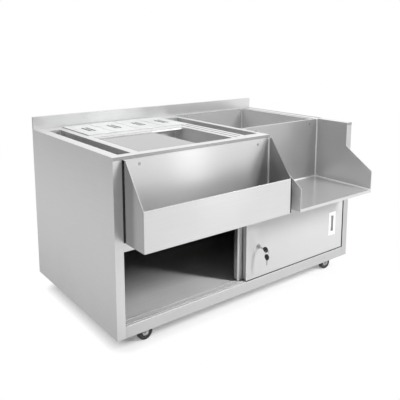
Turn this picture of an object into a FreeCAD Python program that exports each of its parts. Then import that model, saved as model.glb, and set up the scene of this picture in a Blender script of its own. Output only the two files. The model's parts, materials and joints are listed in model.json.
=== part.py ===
# A bar's cocktail station: a stainless steel cabinet on casters with an ice bin, garnish pans,
# tool troughs, a bottle well, a bottle rail, a step-down shelf and two sliding doors.
# Places are measured in mm from the cabinet body's left face, front face and bottom edge.
# The part's origin lies on the floor, under the middle of the whole station, +Z up.
import FreeCAD, Part
import math
import os
import re
import Sketcher

SIZES = {
    # Cabinet body
    "body_width": 1400, "body_depth": 800, "work_height": 800, "floor_clearance": 75,
    "sheet_gauge": 1.5, "upstand_height": 60, "upstand_depth": 18, "worktop_lip": 13,
    "stile_width": 38, "stile_return": 20,
    # Front rails and door tracks
    "rail_height": 50, "rail_return": 20, "track_depth": 62, "top_rail_height": 26,
    "track_rib_width": 2, "track_rib_height": 3, "door_opening_height": 304,
    # Step in the right half of the front
    "left_section_width": 800, "step_depth": 195,
    # Ice bin, its cover, drain grid and drain
    "ice_left": 133, "ice_front": 38, "ice_width": 479, "ice_reach": 430, "ice_tuck": 53,
    "ice_depth": 290, "insulation": 25, "cover_ledge": 8, "cover_drop": 6,
    "cover_width": 297, "cover_play": 0.8, "cover_lip": 12, "cover_clearance": 0.2,
    "grid_height": 25, "grid_play": 0.8, "grid_slot_width": 6, "grid_slot_pitch": 24,
    "grid_margin": 30, "drain_radius": 16, "drain_wall": 3, "drain_flange_radius": 30,
    "drain_flange_thickness": 2, "drain_tail": 60, "drain_tail_radius": 12.5, "hole_play": 0.2,
    # Tool troughs
    "left_trough_left": 42, "left_trough_width": 58, "left_trough_front": 38,
    "right_trough_left": 699, "right_trough_width": 79, "right_trough_front": 55,
    "trough_rear_gap": 82, "trough_depth": 90,
    # Garnish pans and lids
    "pan_row_left": 133, "pan_pitch": 138, "pan_row_gap": 8, "pan_row_rear_gap": 27,
    "pan_bar_width": 8, "pan_bar_height": 12, "pan_flange": 6, "pan_depth": 100, "pan_play": 1.5,
    "pan_gap": 1, "pan_gauge": 1.2, "lid_gauge": 2.5, "lid_inset": 1, "lid_skirt": 4,
    "lid_play": 1, "grip_length": 110, "grip_width": 34, "grip_depth": 8, "grip_bar_width": 8,
    # Bottle well
    "well_left": 806, "well_right_gap": 80, "well_front": 205, "well_rear_gap": 17,
    "well_depth": 300,
    # Bottle rail on the front
    "bottle_rail_left": 43, "bottle_rail_length": 754, "bottle_rail_reach": 140,
    "bottle_rail_bottom": 389, "bottle_rail_front_height": 160, "bottle_rail_top_flat": 18,
    "bottle_rail_top_gap": 0.5, "bottle_rail_screw_inset": 70, "bottle_rail_screw_drop": 24,
    # Step-down shelf
    "shelf_left": 838, "shelf_side_gap": 4, "shelf_level": 406, "shelf_overhang": 165,
    "shelf_lip": 14, "guard_front_height": 95, "guard_step_height": 201, "guard_overlap": 4,
    "shelf_foot_width": 30, "shelf_foot_inset": 60, "shelf_screw_inset": 60,
    "shelf_screw_drop": 24,
    # Screws
    "screw_radius": 2.5, "screw_head_radius": 6, "screw_head_height": 3, "screw_length": 8,
    # Sliding doors
    "door_width": 688, "door_thickness": 25, "door_setback": 1, "door_gap": 3,
    "door_side_gap": 5, "door_edge_gap": 1.5, "door_body_inset": 6.5, "inner_door_lag": 29,
    "glide_length": 40, "glide_width": 14, "glide_play": 0.3, "glide_inset": 30,
    # Flush pulls
    "pull_width": 51, "pull_height": 124, "pull_edge": 58, "pull_level": 201, "pull_bezel": 14,
    "pull_end_bezel": 20, "pull_proud": 1, "pull_depth": 12, "pull_wall": 1.5, "pull_play": 0.2,
    # Door lock
    "lock_edge": 75, "lock_level": 203, "lock_flange_radius": 12, "lock_flange_thickness": 3,
    "lock_barrel_radius": 9.5, "lock_barrel_length": 18, "plug_radius": 6, "plug_play": 0.05,
    "cam_length": 30, "cam_width": 12, "cam_thickness": 2,
    # Keys and ring
    "key_thickness": 2.2, "key_blade_width": 8, "key_insert": 15, "key_reach": 32,
    "key_blade_length": 28, "key_slot_play": 0.1, "bow_radius": 13, "bow_thickness": 5,
    "bow_hole_radius": 1.9, "bow_hole_inset": 5, "ring_radius": 12, "ring_wire_radius": 1,
    # Casters
    "caster_side_inset": 130, "caster_end_inset": 65, "caster_trail": 30, "wheel_radius": 34,
    "wheel_width": 24, "tyre_round": 5, "hub_radius": 11, "hub_proud": 1, "web_recess": 3,
    "tyre_depth": 10, "axle_radius": 4, "axle_play": 0.05, "axle_head_radius": 7,
    "axle_head_height": 4, "fork_gauge": 3, "fork_gap": 0.4, "fork_ear_radius": 11,
    "fork_crown_tail": 20, "fork_crown_gap": 8, "race_radius": 18, "race_gap": 0.3,
    "kingpin_radius": 5, "kingpin_play": 0.05, "caster_plate_size": 64,
    "caster_plate_gauge": 3, "caster_height": 92, "bolt_radius": 3, "bolt_spacing": 44,
    "bolt_head_radius": 5, "bolt_head_height": 4, "bolt_play": 0.2, "channel_width": 80,
}

doc = FreeCAD.newDocument("cocktail_station")
sheet = doc.addObject("Spreadsheet::Sheet", "Sizes")
for row, (alias, value) in enumerate(SIZES.items(), start=1):
    sheet.set(f"A{row}", alias)
    sheet.set(f"B{row}", str(value))
    sheet.setAlias(f"B{row}", alias)
doc.recompute()

# Planes that several pieces share
GAUGE = "sheet_gauge"
TOP = "(work_height - floor_clearance)"
UNDER_TOP = f"({TOP} - {GAUGE})"
RIGHT = "body_width"
REAR = "body_depth"
STEP_RIGHT = "(body_width - stile_width)"
DOOR_TOP = "(rail_height + door_opening_height)"
APRON_BOTTOM = f"({DOOR_TOP} + top_rail_height)"
FLOOR_SHEET = f"(rail_height - {GAUGE})"
OUTER_DOOR_FRONT = "door_setback"
INNER_DOOR_FRONT = "(door_setback + door_thickness + door_gap)"
OUTER_DOOR_LEFT = f"({STEP_RIGHT} - door_side_gap - door_width)"
INNER_DOOR_LEFT = f"({OUTER_DOOR_LEFT} - inner_door_lag)"
UPSTAND_FRONT = "(body_depth - upstand_depth)"
FRAME_SHIFT = {"x": "body_width / 2", "y": "(body_depth - shelf_overhang) / 2",
               "z": "-floor_clearance"}
NODES = []


def bind(item, slot, text):
    """Ties one property to the sheet: every alias in the text becomes a cell of the sheet."""
    tied = re.sub(r"[a-z_]+", lambda word: "Sizes." + word.group() if word.group() in SIZES
                  else word.group(), text)
    item.setExpression(slot, tied)


def place(item, x, y, z):
    """Moves an item from the body's corner frame to the part's own origin."""
    for side, text in (("x", x), ("y", y), ("z", z)):
        bind(item, f"Placement.Base.{side}", f"{text} - ({FRAME_SHIFT[side]})")


def node(item, label):
    """Marks an item as one sub-part, whose label names its file."""
    item.Label = label
    NODES.append(item)
    return item


def block(name, x, y, z):
    """A box between two planes on each axis."""
    box = doc.addObject("Part::Box", name)
    for slot, (low, high) in (("Length", x), ("Width", y), ("Height", z)):
        bind(box, slot, f"{high} - ({low})")
    place(box, x[0], y[0], z[0])
    return box


TURNS = {"x": FreeCAD.Rotation(FreeCAD.Vector(0, 1, 0), 90),
         "y": FreeCAD.Rotation(FreeCAD.Vector(1, 0, 0), -90),
         "z": FreeCAD.Rotation()}


def rod(name, axis, start, radius, length):
    """A round bar that runs from its start point along one axis."""
    bar = doc.addObject("Part::Cylinder", name)
    bar.Placement = FreeCAD.Placement(FreeCAD.Vector(), TURNS[axis])
    bind(bar, "Radius", radius)
    bind(bar, "Height", length)
    place(bar, *start)
    return bar


def union(name, *pieces):
    joined = doc.addObject("Part::MultiFuse", name)
    joined.Shapes = list(pieces)
    joined.Refine = True
    return joined


def cut(name, base, *tools):
    """The base with every tool's space taken out of it."""
    taken = doc.addObject("Part::Cut", name)
    taken.Base = base
    taken.Tool = tools[0] if len(tools) == 1 else union(f"{name}_space", *tools)
    taken.Refine = True
    return taken


def group(name, *pieces):
    """Like pieces that stay separate solids and share one node."""
    set_of = doc.addObject("Part::Compound", name)
    set_of.Links = list(pieces)
    return set_of


def draw(body, role, points):
    """A closed outline on one of the body's planes, each corner dimensioned from its origin."""
    outline = body.newObject("Sketcher::SketchObject", f"{body.Name}_outline")
    plane = next(face for face in body.Origin.OriginFeatures if face.Role == role)
    outline.AttachmentSupport = [(plane, "")]
    outline.MapMode = "FlatFace"
    count = len(points)
    spots = [FreeCAD.Vector(math.cos(step), math.sin(step), 0) * count
             for step in (2 * math.pi * index / count for index in range(count))]
    for index in range(count):
        outline.addGeometry(Part.LineSegment(spots[index], spots[(index + 1) % count]))
    for index in range(count):
        outline.addConstraint(
            Sketcher.Constraint("Coincident", index, 2, (index + 1) % count, 1))
    for index, corner in enumerate(points):
        for kind, axis, text in (("DistanceX", -2, corner[0]), ("DistanceY", -1, corner[1])):
            if text == "0":
                outline.addConstraint(Sketcher.Constraint("PointOnObject", index, 1, axis))
            else:
                number = outline.addConstraint(
                    Sketcher.Constraint(kind, -1, 1, index, 1, 1.0))
                bind(outline, f"Constraints[{number}]", text)
    return outline


def folded(name, role, points, length, start):
    """A length of one outline: sheet folded on a press, or plate cut to shape."""
    body = doc.addObject("PartDesign::Body", name)
    pad = body.newObject("PartDesign::Pad", f"{name}_pad")
    pad.Profile = draw(body, role, points)
    bind(pad, "Length", length)
    pad.Reversed = role == "XZ_Plane"
    place(body, *start)
    return body


def tub(name, x, y, depth):
    """An open-topped box of sheet, hung from the underside of the worktop."""
    shell = block(f"{name}_shell", (f"{x[0]} - {GAUGE}", f"{x[1]} + {GAUGE}"),
                  (f"{y[0]} - {GAUGE}", f"{y[1]} + {GAUGE}"),
                  (f"{TOP} - {depth} - {GAUGE}", UNDER_TOP))
    hollow = block(f"{name}_hollow", x, y, (f"{TOP} - {depth}", TOP))
    return cut(name, shell, hollow)


# Side panels: one sheet each, folded round the front corner into a stile
SIDE_HEIGHT = UNDER_TOP
SIDE_REACH = f"{REAR} - {GAUGE}"
STILE_WALL = f"stile_width - {GAUGE}"
left_side = folded("left_side", "XY_Plane", [
    ("0", "0"), ("stile_width", "0"), ("stile_width", "stile_return"),
    (STILE_WALL, "stile_return"), (STILE_WALL, GAUGE), (GAUGE, GAUGE),
    (GAUGE, SIDE_REACH), ("0", SIDE_REACH)], SIDE_HEIGHT, ("0", "0", "0"))
node(left_side, "left_side_panel")
right_side = folded("right_side", "XY_Plane", [
    ("0", "0"), ("stile_width", "0"), ("stile_width", SIDE_REACH), (STILE_WALL, SIDE_REACH),
    (STILE_WALL, GAUGE), (GAUGE, GAUGE), (GAUGE, "stile_return"), ("0", "stile_return")],
    SIDE_HEIGHT, (STEP_RIGHT, "0", "0"))
node(right_side, "right_side_panel")

# Back panel and floor sheet of the cabinet
node(block("back", ("0", RIGHT), (SIDE_REACH, REAR), ("0", UNDER_TOP)), "back_panel")
node(block("floor", (GAUGE, f"{RIGHT} - {GAUGE}"), ("track_depth", SIDE_REACH),
           (FLOOR_SHEET, "rail_height")), "base_shelf")

# Front rails: folded channels whose ribs guide the doors
RIB_OUTER = f"({OUTER_DOOR_FRONT} + door_thickness / 2)"
RIB_INNER = f"({INNER_DOOR_FRONT} + door_thickness / 2)"
RIB_HALF = "track_rib_width / 2"
RIB_TOP = "rail_height + track_rib_height"
RAIL_LENGTH = "body_width - 2 * stile_width"
bottom_rail = folded("bottom_rail", "YZ_Plane", [
    ("0", "0"), ("rail_return", "0"), ("rail_return", GAUGE), (GAUGE, GAUGE),
    (GAUGE, f"rail_height - {GAUGE}"), ("track_depth", f"rail_height - {GAUGE}"),
    ("track_depth", "rail_height"),
    (f"{RIB_INNER} + {RIB_HALF}", "rail_height"), (f"{RIB_INNER} + {RIB_HALF}", RIB_TOP),
    (f"{RIB_INNER} - {RIB_HALF}", RIB_TOP), (f"{RIB_INNER} - {RIB_HALF}", "rail_height"),
    (f"{RIB_OUTER} + {RIB_HALF}", "rail_height"), (f"{RIB_OUTER} + {RIB_HALF}", RIB_TOP),
    (f"{RIB_OUTER} - {RIB_HALF}", RIB_TOP), (f"{RIB_OUTER} - {RIB_HALF}", "rail_height"),
    ("0", "rail_height")], RAIL_LENGTH, ("stile_width", "0", "0"))
node(bottom_rail, "bottom_rail")
TRACK_FACE = "track_rib_height"
TRACK_BACK = f"track_rib_height + {GAUGE}"
TOP_RAIL_TOP = "track_rib_height + top_rail_height"
top_rail = folded("top_rail", "YZ_Plane", [
    ("0", TRACK_FACE),
    (f"{RIB_OUTER} - {RIB_HALF}", TRACK_FACE), (f"{RIB_OUTER} - {RIB_HALF}", "0"),
    (f"{RIB_OUTER} + {RIB_HALF}", "0"), (f"{RIB_OUTER} + {RIB_HALF}", TRACK_FACE),
    (f"{RIB_INNER} - {RIB_HALF}", TRACK_FACE), (f"{RIB_INNER} - {RIB_HALF}", "0"),
    (f"{RIB_INNER} + {RIB_HALF}", "0"), (f"{RIB_INNER} + {RIB_HALF}", TRACK_FACE),
    ("track_depth", TRACK_FACE), ("track_depth", TRACK_BACK), (GAUGE, TRACK_BACK),
    (GAUGE, f"{TOP_RAIL_TOP} - {GAUGE}"), ("rail_return", f"{TOP_RAIL_TOP} - {GAUGE}"),
    ("rail_return", TOP_RAIL_TOP), ("0", TOP_RAIL_TOP)],
    RAIL_LENGTH, ("stile_width", "0", f"{DOOR_TOP} - track_rib_height"))
node(top_rail, "top_rail")

# Screws that hold the bottle rail and the step shelf, one helper for holes and screws
RAIL_BACK_TOP = f"({TOP} - worktop_lip - bottle_rail_top_gap)"
RAIL_SCREW_LEVEL = f"{RAIL_BACK_TOP} - bottle_rail_screw_drop"
SHELF_RIGHT = f"({STEP_RIGHT} - shelf_side_gap)"
SHELF_SCREW_LEVEL = f"{TOP} - shelf_screw_drop"
SCREW_SPOTS = [
    ("bottle_rail_left + bottle_rail_screw_inset", "0", RAIL_SCREW_LEVEL),
    ("bottle_rail_left + bottle_rail_length - bottle_rail_screw_inset", "0", RAIL_SCREW_LEVEL),
    ("shelf_left + shelf_screw_inset", "step_depth", SHELF_SCREW_LEVEL),
    (f"{SHELF_RIGHT} - shelf_screw_inset", "step_depth", SHELF_SCREW_LEVEL)]


def screw_holes(name):
    """Clearance holes through the two sheets that each screw holds together."""
    return [rod(f"{name}_hole_{index}", "y", (x, f"{y} - 2 * {GAUGE}", z),
                "screw_radius + hole_play", f"4 * {GAUGE}")
            for index, (x, y, z) in enumerate(SCREW_SPOTS)]


screws = []
for number, (x, y, z) in enumerate(SCREW_SPOTS):
    seat = f"{y} - {GAUGE}"
    head = rod(f"screw_head_{number}", "y", (x, f"{seat} - screw_head_height", z),
               "screw_head_radius", "screw_head_height")
    shank = rod(f"screw_shank_{number}", "y", (x, seat, z), "screw_radius", "screw_length")
    screws.append(union(f"screw_{number}", head, shank))
node(group("screws", *screws), "rail_and_shelf_screws")

# Front apron: folded round the step, with the ledge that closes the cabinet under the shelf
APRON_LENGTH = "left_section_width - stile_width"
APRON_STEP = f"{APRON_LENGTH} - {GAUGE}"
APRON_RIGHT = f"{STEP_RIGHT} - stile_width"
apron_sheet = folded("apron_sheet", "XY_Plane", [
    ("0", "0"), (APRON_LENGTH, "0"), (APRON_LENGTH, "step_depth"), (APRON_RIGHT, "step_depth"),
    (APRON_RIGHT, "stile_return"), (f"{APRON_RIGHT} + {GAUGE}", "stile_return"),
    (f"{APRON_RIGHT} + {GAUGE}", f"step_depth + {GAUGE}"),
    (APRON_STEP, f"step_depth + {GAUGE}"), (APRON_STEP, GAUGE), ("0", GAUGE)],
    f"{UNDER_TOP} - {APRON_BOTTOM}", ("stile_width", "0", APRON_BOTTOM))
node(cut("apron", apron_sheet, *screw_holes("apron")), "front_apron")
node(block("ledge", ("left_section_width", STEP_RIGHT), ("0", "step_depth"),
           (APRON_BOTTOM, f"{APRON_BOTTOM} + {GAUGE}")), "step_ledge")

# Worktop: one sheet with a front lip, cut out for the step, the bins and the pans
ICE_X = ("ice_left", "(ice_left + ice_width)")
ICE_Y = ("ice_front", "(ice_front + ice_reach)")
LEFT_TROUGH_X = ("left_trough_left", "(left_trough_left + left_trough_width)")
TROUGH_REAR = f"({UPSTAND_FRONT} - trough_rear_gap)"
LEFT_TROUGH_Y = ("left_trough_front", TROUGH_REAR)
RIGHT_TROUGH_X = ("right_trough_left", "(right_trough_left + right_trough_width)")
RIGHT_TROUGH_Y = ("right_trough_front", TROUGH_REAR)
WELL_X = ("well_left", f"({RIGHT} - well_right_gap)")
WELL_Y = ("well_front", f"({UPSTAND_FRONT} - well_rear_gap)")
PAN_ROW_X = ("pan_row_left", "(pan_row_left + 4 * pan_pitch)")
PAN_ROW_Y = ("(ice_front + ice_reach + pan_row_gap)", f"({UPSTAND_FRONT} - pan_row_rear_gap)")
MOUTH_REAR = "(ice_front + ice_reach - ice_tuck)"
worktop_sheet = union(
    "worktop_sheet",
    block("worktop_plate", ("0", RIGHT), ("0", REAR), (UNDER_TOP, TOP)),
    block("worktop_front_lip", ("0", RIGHT), (f"-{GAUGE}", "0"), (f"{TOP} - worktop_lip", TOP)))
mouths = [("step", ("left_section_width", STEP_RIGHT), (f"-2 * {GAUGE}", "step_depth")),
          ("ice", ICE_X, ("ice_front", MOUTH_REAR)),
          ("left_trough", LEFT_TROUGH_X, LEFT_TROUGH_Y),
          ("right_trough", RIGHT_TROUGH_X, RIGHT_TROUGH_Y),
          ("well", WELL_X, WELL_Y), ("pan_row", PAN_ROW_X, PAN_ROW_Y)]
node(cut("worktop", worktop_sheet,
         *[block(f"{name}_mouth", x, y, (f"{TOP} - 2 * worktop_lip", f"{TOP} + worktop_lip"))
           for name, x, y in mouths]), "worktop")

# Upstand along the rear edge: a folded channel, open below and at its ends
node(cut("upstand_channel",
         block("upstand_outer", ("0", RIGHT), (UPSTAND_FRONT, REAR),
               (TOP, f"{TOP} + upstand_height")),
         block("upstand_inner", ("0", RIGHT), (f"{UPSTAND_FRONT} + {GAUGE}", f"{REAR} - {GAUGE}"),
               (TOP, f"{TOP} + upstand_height - {GAUGE}"))), "upstand")

# Tool troughs and bottle well
node(tub("left_trough", LEFT_TROUGH_X, LEFT_TROUGH_Y, "trough_depth"), "left_tool_trough")
node(tub("right_trough", RIGHT_TROUGH_X, RIGHT_TROUGH_Y, "trough_depth"), "right_tool_trough")
node(tub("well", WELL_X, WELL_Y, "well_depth"), "bottle_well")

# Ice bin: liner with cover ledges, foam jacket, slotted drain grid, drain and sliding cover
ICE_FLOOR = f"({TOP} - ice_depth)"
DRAIN_X = "(ice_left + ice_width / 2)"
DRAIN_Y = "(ice_front + ice_reach / 2)"
COVER_TOP = f"({TOP} - cover_drop)"
COVER_UNDER = f"({COVER_TOP} - {GAUGE})"
LEDGE_TOP = f"({COVER_UNDER} - cover_clearance)"


def drain_hole(name):
    return rod(name, "z", (DRAIN_X, DRAIN_Y, f"{ICE_FLOOR} - drain_tail"),
               "drain_radius + hole_play", "2 * drain_tail")


liner = cut("liner", tub("liner_tub", ICE_X, ICE_Y, "ice_depth"), drain_hole("liner_drain_hole"))
LEDGE_Z = (f"{LEDGE_TOP} - {GAUGE}", LEDGE_TOP)
front_ledge = block("front_ledge", ICE_X, ("ice_front", "ice_front + cover_ledge"), LEDGE_Z)
rear_ledge = block("rear_ledge", ICE_X, (f"{MOUTH_REAR} - cover_ledge", MOUTH_REAR), LEDGE_Z)
rear_hanger = block("rear_hanger", ICE_X, (MOUTH_REAR, f"{MOUTH_REAR} + {GAUGE}"),
                    (f"{LEDGE_TOP} - {GAUGE}", UNDER_TOP))
node(union("liner_with_ledges", liner, front_ledge, rear_ledge, rear_hanger), "ice_bin_liner")
JACKET = f"({GAUGE} + insulation)"
jacket_block = block("jacket_block", (f"{ICE_X[0]} - {JACKET}", f"{ICE_X[1]} + {JACKET}"),
                     (f"{ICE_Y[0]} - {JACKET}", f"{ICE_Y[1]} + {JACKET}"),
                     (f"{ICE_FLOOR} - {JACKET}", f"{UNDER_TOP} - pan_depth - {JACKET}"))
jacket_hollow = block("jacket_hollow", (f"{ICE_X[0]} - {GAUGE}", f"{ICE_X[1]} + {GAUGE}"),
                      (f"{ICE_Y[0]} - {GAUGE}", f"{ICE_Y[1]} + {GAUGE}"),
                      (f"{ICE_FLOOR} - {GAUGE}", TOP))
node(cut("jacket", jacket_block, jacket_hollow, drain_hole("jacket_drain_hole")),
     "ice_bin_insulation")

# The drain grid stands on its folded edges; one slot is cut and repeated along the grid
GRID_WIDTH = "(ice_width - 2 * grid_play)"
GRID_REACH = "(ice_reach - 2 * grid_play)"
grid = folded("grid", "XZ_Plane", [
    ("0", "0"), (GAUGE, "0"), (GAUGE, f"grid_height - {GAUGE}"),
    (f"{GRID_WIDTH} - {GAUGE}", f"grid_height - {GAUGE}"), (f"{GRID_WIDTH} - {GAUGE}", "0"),
    (GRID_WIDTH, "0"), (GRID_WIDTH, "grid_height"), ("0", "grid_height")],
    GRID_REACH, ("ice_left + grid_play", "ice_front + grid_play", ICE_FLOOR))
doc.recompute()
SLOT_Y = ("grid_margin", f"{GRID_REACH} - grid_margin")
SLOT_X = ("grid_margin", "grid_margin + grid_slot_width")
plain_volume = grid.Shape.Volume
slot = grid.newObject("PartDesign::Pocket", "grid_slot")
slot.Profile = draw(grid, "XY_Plane", [(SLOT_X[0], SLOT_Y[0]), (SLOT_X[1], SLOT_Y[0]),
                                       (SLOT_X[1], SLOT_Y[1]), (SLOT_X[0], SLOT_Y[1])])
slot.Type = "ThroughAll"
slot.Reversed = True
doc.recompute()
slots = grid.newObject("PartDesign::LinearPattern", "grid_slots")
slots.Originals = [slot]
slots.Direction = (slot.Profile[0], ["H_Axis"])
SLOT_ROOM = f"({GRID_WIDTH} - 2 * grid_margin - grid_slot_width)"
bind(slots, "Occurrences", f"floor({SLOT_ROOM} / grid_slot_pitch) + 1")
bind(slots, "Length", f"floor({SLOT_ROOM} / grid_slot_pitch) * grid_slot_pitch")
grid.Tip = slots
doc.recompute()
if grid.Shape.Volume >= plain_volume:
    raise RuntimeError("the drain grid's slots cut nothing")
node(grid, "ice_bin_false_bottom")

drain_flange = rod("drain_flange", "z", (DRAIN_X, DRAIN_Y, ICE_FLOOR), "drain_flange_radius",
                   "drain_flange_thickness")
DRAIN_NECK = f"({ICE_FLOOR} - {JACKET})"
DRAIN_END = f"({DRAIN_NECK} - drain_tail)"
drain_neck = rod("drain_neck", "z", (DRAIN_X, DRAIN_Y, DRAIN_NECK), "drain_radius", JACKET)
drain_tail = rod("drain_tail", "z", (DRAIN_X, DRAIN_Y, DRAIN_END), "drain_tail_radius",
                 "drain_tail")
drain_bore = rod("drain_bore", "z", (DRAIN_X, DRAIN_Y, f"{DRAIN_END} - drain_wall"),
                 "drain_tail_radius - drain_wall", f"2 * drain_tail + {JACKET}")
node(cut("drain", union("drain_solid", drain_flange, drain_neck, drain_tail), drain_bore),
     "ice_bin_drain")

COVER_X = ("ice_left + cover_play", "ice_left + cover_width")
cover_plate = block("cover_plate", COVER_X,
                    ("ice_front + cover_play", f"{MOUTH_REAR} - cover_play"),
                    (COVER_UNDER, COVER_TOP))
cover_lip = block("cover_lip", (f"{COVER_X[1]} - {GAUGE}", COVER_X[1]),
                  ("ice_front + cover_ledge + cover_play",
                   f"{MOUTH_REAR} - cover_ledge - cover_play"),
                  (f"{COVER_TOP} - cover_lip", COVER_TOP))
node(union("cover", cover_plate, cover_lip), "ice_bin_cover")

# Garnish pans: four alike, hung by their flanges over bars, each with a moulded lid
PAN_COUNT = 4
bars = []
for number in range(1, PAN_COUNT):
    middle = f"(pan_row_left + {number} * pan_pitch)"
    bars.append(block(f"pan_bar_{number}",
                      (f"{middle} - pan_bar_width / 2", f"{middle} + pan_bar_width / 2"),
                      PAN_ROW_Y, (f"{TOP} - pan_bar_height", TOP)))
node(group("pan_bar_set", *bars), "pan_bars")
FLANGE_Y = (f"({PAN_ROW_Y[0]} - pan_flange)", f"({PAN_ROW_Y[1]} + pan_flange)")
PAN_Y = (f"({PAN_ROW_Y[0]} + pan_play)", f"({PAN_ROW_Y[1]} - pan_play)")
FLANGE_TOP = f"({TOP} + pan_gauge)"
LID_TOP = f"({FLANGE_TOP} + lid_gauge)"
GRIP_Y = f"(({PAN_ROW_Y[0]} + {PAN_ROW_Y[1]}) / 2)"
for number in range(PAN_COUNT):
    name = f"pan_{number + 1}"
    left = f"(pan_row_left + {number} * pan_pitch)"
    right = f"(pan_row_left + {number + 1} * pan_pitch)"
    flange_x = (f"({left} + pan_gap / 2)", f"({right} - pan_gap / 2)")
    wall_x = (f"({left} + pan_bar_width / 2 + pan_play)",
              f"({right} - pan_bar_width / 2 - pan_play)")
    flange = block(f"{name}_flange", flange_x, FLANGE_Y, (TOP, FLANGE_TOP))
    walls = block(f"{name}_walls", wall_x, PAN_Y, (f"{TOP} - pan_depth", FLANGE_TOP))
    inside_x = (f"({wall_x[0]} + pan_gauge)", f"({wall_x[1]} - pan_gauge)")
    inside_y = (f"({PAN_Y[0]} + pan_gauge)", f"({PAN_Y[1]} - pan_gauge)")
    inside = block(f"{name}_inside", inside_x, inside_y,
                   (f"{TOP} - pan_depth + pan_gauge", f"{FLANGE_TOP} + pan_gauge"))
    node(cut(name, union(f"{name}_solid", flange, walls), inside), f"garnish_pan_{number + 1}")

    lid_plate = block(f"{name}_lid_plate",
                      (f"{flange_x[0]} + lid_inset", f"{flange_x[1]} - lid_inset"),
                      (f"{FLANGE_Y[0]} + lid_inset", f"{FLANGE_Y[1]} - lid_inset"),
                      (FLANGE_TOP, LID_TOP))
    skirt_x = (f"({inside_x[0]} + lid_play)", f"({inside_x[1]} - lid_play)")
    skirt_y = (f"({inside_y[0]} + lid_play)", f"({inside_y[1]} - lid_play)")
    skirt = block(f"{name}_lid_skirt", skirt_x, skirt_y, (f"{LID_TOP} - lid_skirt", LID_TOP))
    skirt_hollow = block(f"{name}_lid_hollow",
                         (f"{skirt_x[0]} + lid_gauge", f"{skirt_x[1]} - lid_gauge"),
                         (f"{skirt_y[0]} + lid_gauge", f"{skirt_y[1]} - lid_gauge"),
                         (f"{LID_TOP} - 2 * lid_skirt", FLANGE_TOP))
    middle = f"(pan_row_left + ({number} + 1 / 2) * pan_pitch)"
    grip_x = (f"({middle} - grip_width / 2)", f"({middle} + grip_width / 2)")
    grip_y = (f"({GRIP_Y} - grip_length / 2)", f"({GRIP_Y} + grip_length / 2)")
    grip_floor = f"({LID_TOP} - grip_depth)"
    well = block(f"{name}_grip_well",
                 (f"{grip_x[0]} - lid_gauge", f"{grip_x[1]} + lid_gauge"),
                 (f"{grip_y[0]} - lid_gauge", f"{grip_y[1]} + lid_gauge"),
                 (f"{grip_floor} - lid_gauge", LID_TOP))
    recess = block(f"{name}_grip_recess", grip_x, grip_y, (grip_floor, f"{LID_TOP} + lid_gauge"))
    bar = block(f"{name}_grip_bar",
                (f"{middle} - grip_bar_width / 2", f"{middle} + grip_bar_width / 2"), grip_y,
                (grip_floor, LID_TOP))
    rim = cut(f"{name}_lid_rim", union(f"{name}_lid_sheet", lid_plate, skirt), skirt_hollow)
    lid = cut(f"{name}_lid_open", union(f"{name}_lid_solid", rim, well), recess)
    node(union(f"{name}_lid", lid, bar), f"pan_lid_{number + 1}")

# Bottle rail: a folded trough with sloped end plates, screwed to the apron
RAIL_BACK_HEIGHT = f"({RAIL_BACK_TOP} - bottle_rail_bottom)"
RAIL_BACK = f"bottle_rail_reach - {GAUGE}"
RAIL_START = ("-bottle_rail_reach", "bottle_rail_bottom")
trough = folded("trough", "YZ_Plane", [
    ("0", "0"), ("bottle_rail_reach", "0"), ("bottle_rail_reach", RAIL_BACK_HEIGHT),
    (RAIL_BACK, RAIL_BACK_HEIGHT), (RAIL_BACK, GAUGE), (GAUGE, GAUGE),
    (GAUGE, "bottle_rail_front_height"), ("0", "bottle_rail_front_height")],
    "bottle_rail_length", ("bottle_rail_left", *RAIL_START))
END_PLATE = [
    ("0", "0"), ("bottle_rail_reach", "0"), ("bottle_rail_reach", RAIL_BACK_HEIGHT),
    ("bottle_rail_reach - bottle_rail_top_flat", RAIL_BACK_HEIGHT),
    ("0", "bottle_rail_front_height")]
left_end = folded("trough_left_end", "YZ_Plane", END_PLATE, GAUGE,
                  ("bottle_rail_left", *RAIL_START))
right_end = folded("trough_right_end", "YZ_Plane", END_PLATE, GAUGE,
                   (f"bottle_rail_left + bottle_rail_length - {GAUGE}", *RAIL_START))
node(cut("bottle_rail", union("bottle_rail_solid", trough, left_end, right_end),
         *screw_holes("bottle_rail")), "speed_rail")

# Step-down shelf: folded floor and back plate with side guards, on two folded feet
SHELF_REACH = "(shelf_overhang + step_depth)"
SHELF_BOTTOM = "(shelf_level - shelf_lip)"
GUARD_FRONT = "shelf_lip + guard_front_height"
GUARD_STEP = "shelf_lip + guard_step_height"
GUARD_TOP = f"{TOP} - {SHELF_BOTTOM}"
GUARD_FOLD = "shelf_overhang - guard_overlap"
SHELF_START = ("-shelf_overhang", SHELF_BOTTOM)
right_guard = folded("right_guard", "YZ_Plane", [
    ("0", "0"), (SHELF_REACH, "0"), (SHELF_REACH, GUARD_TOP), (GUARD_FOLD, GUARD_TOP),
    (GUARD_FOLD, GUARD_STEP), ("0", GUARD_FRONT)],
    GAUGE, (f"{SHELF_RIGHT} - {GAUGE}", *SHELF_START))
left_guard = folded("left_guard", "YZ_Plane", [
    ("0", "0"), (SHELF_REACH, "0"), (SHELF_REACH, GUARD_STEP), (GUARD_FOLD, GUARD_STEP),
    ("0", GUARD_FRONT)], GAUGE, ("shelf_left", *SHELF_START))
SHELF_X = ("shelf_left", SHELF_RIGHT)
shelf_floor = block("shelf_floor", SHELF_X, ("-shelf_overhang", "step_depth"),
                    (f"shelf_level - {GAUGE}", "shelf_level"))
shelf_front = block("shelf_front", SHELF_X, ("-shelf_overhang", f"{GAUGE} - shelf_overhang"),
                    (SHELF_BOTTOM, "shelf_level"))
shelf_back = block("shelf_back", SHELF_X, (f"step_depth - {GAUGE}", "step_depth"),
                   (f"shelf_level - {GAUGE}", TOP))
feet = []
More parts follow.
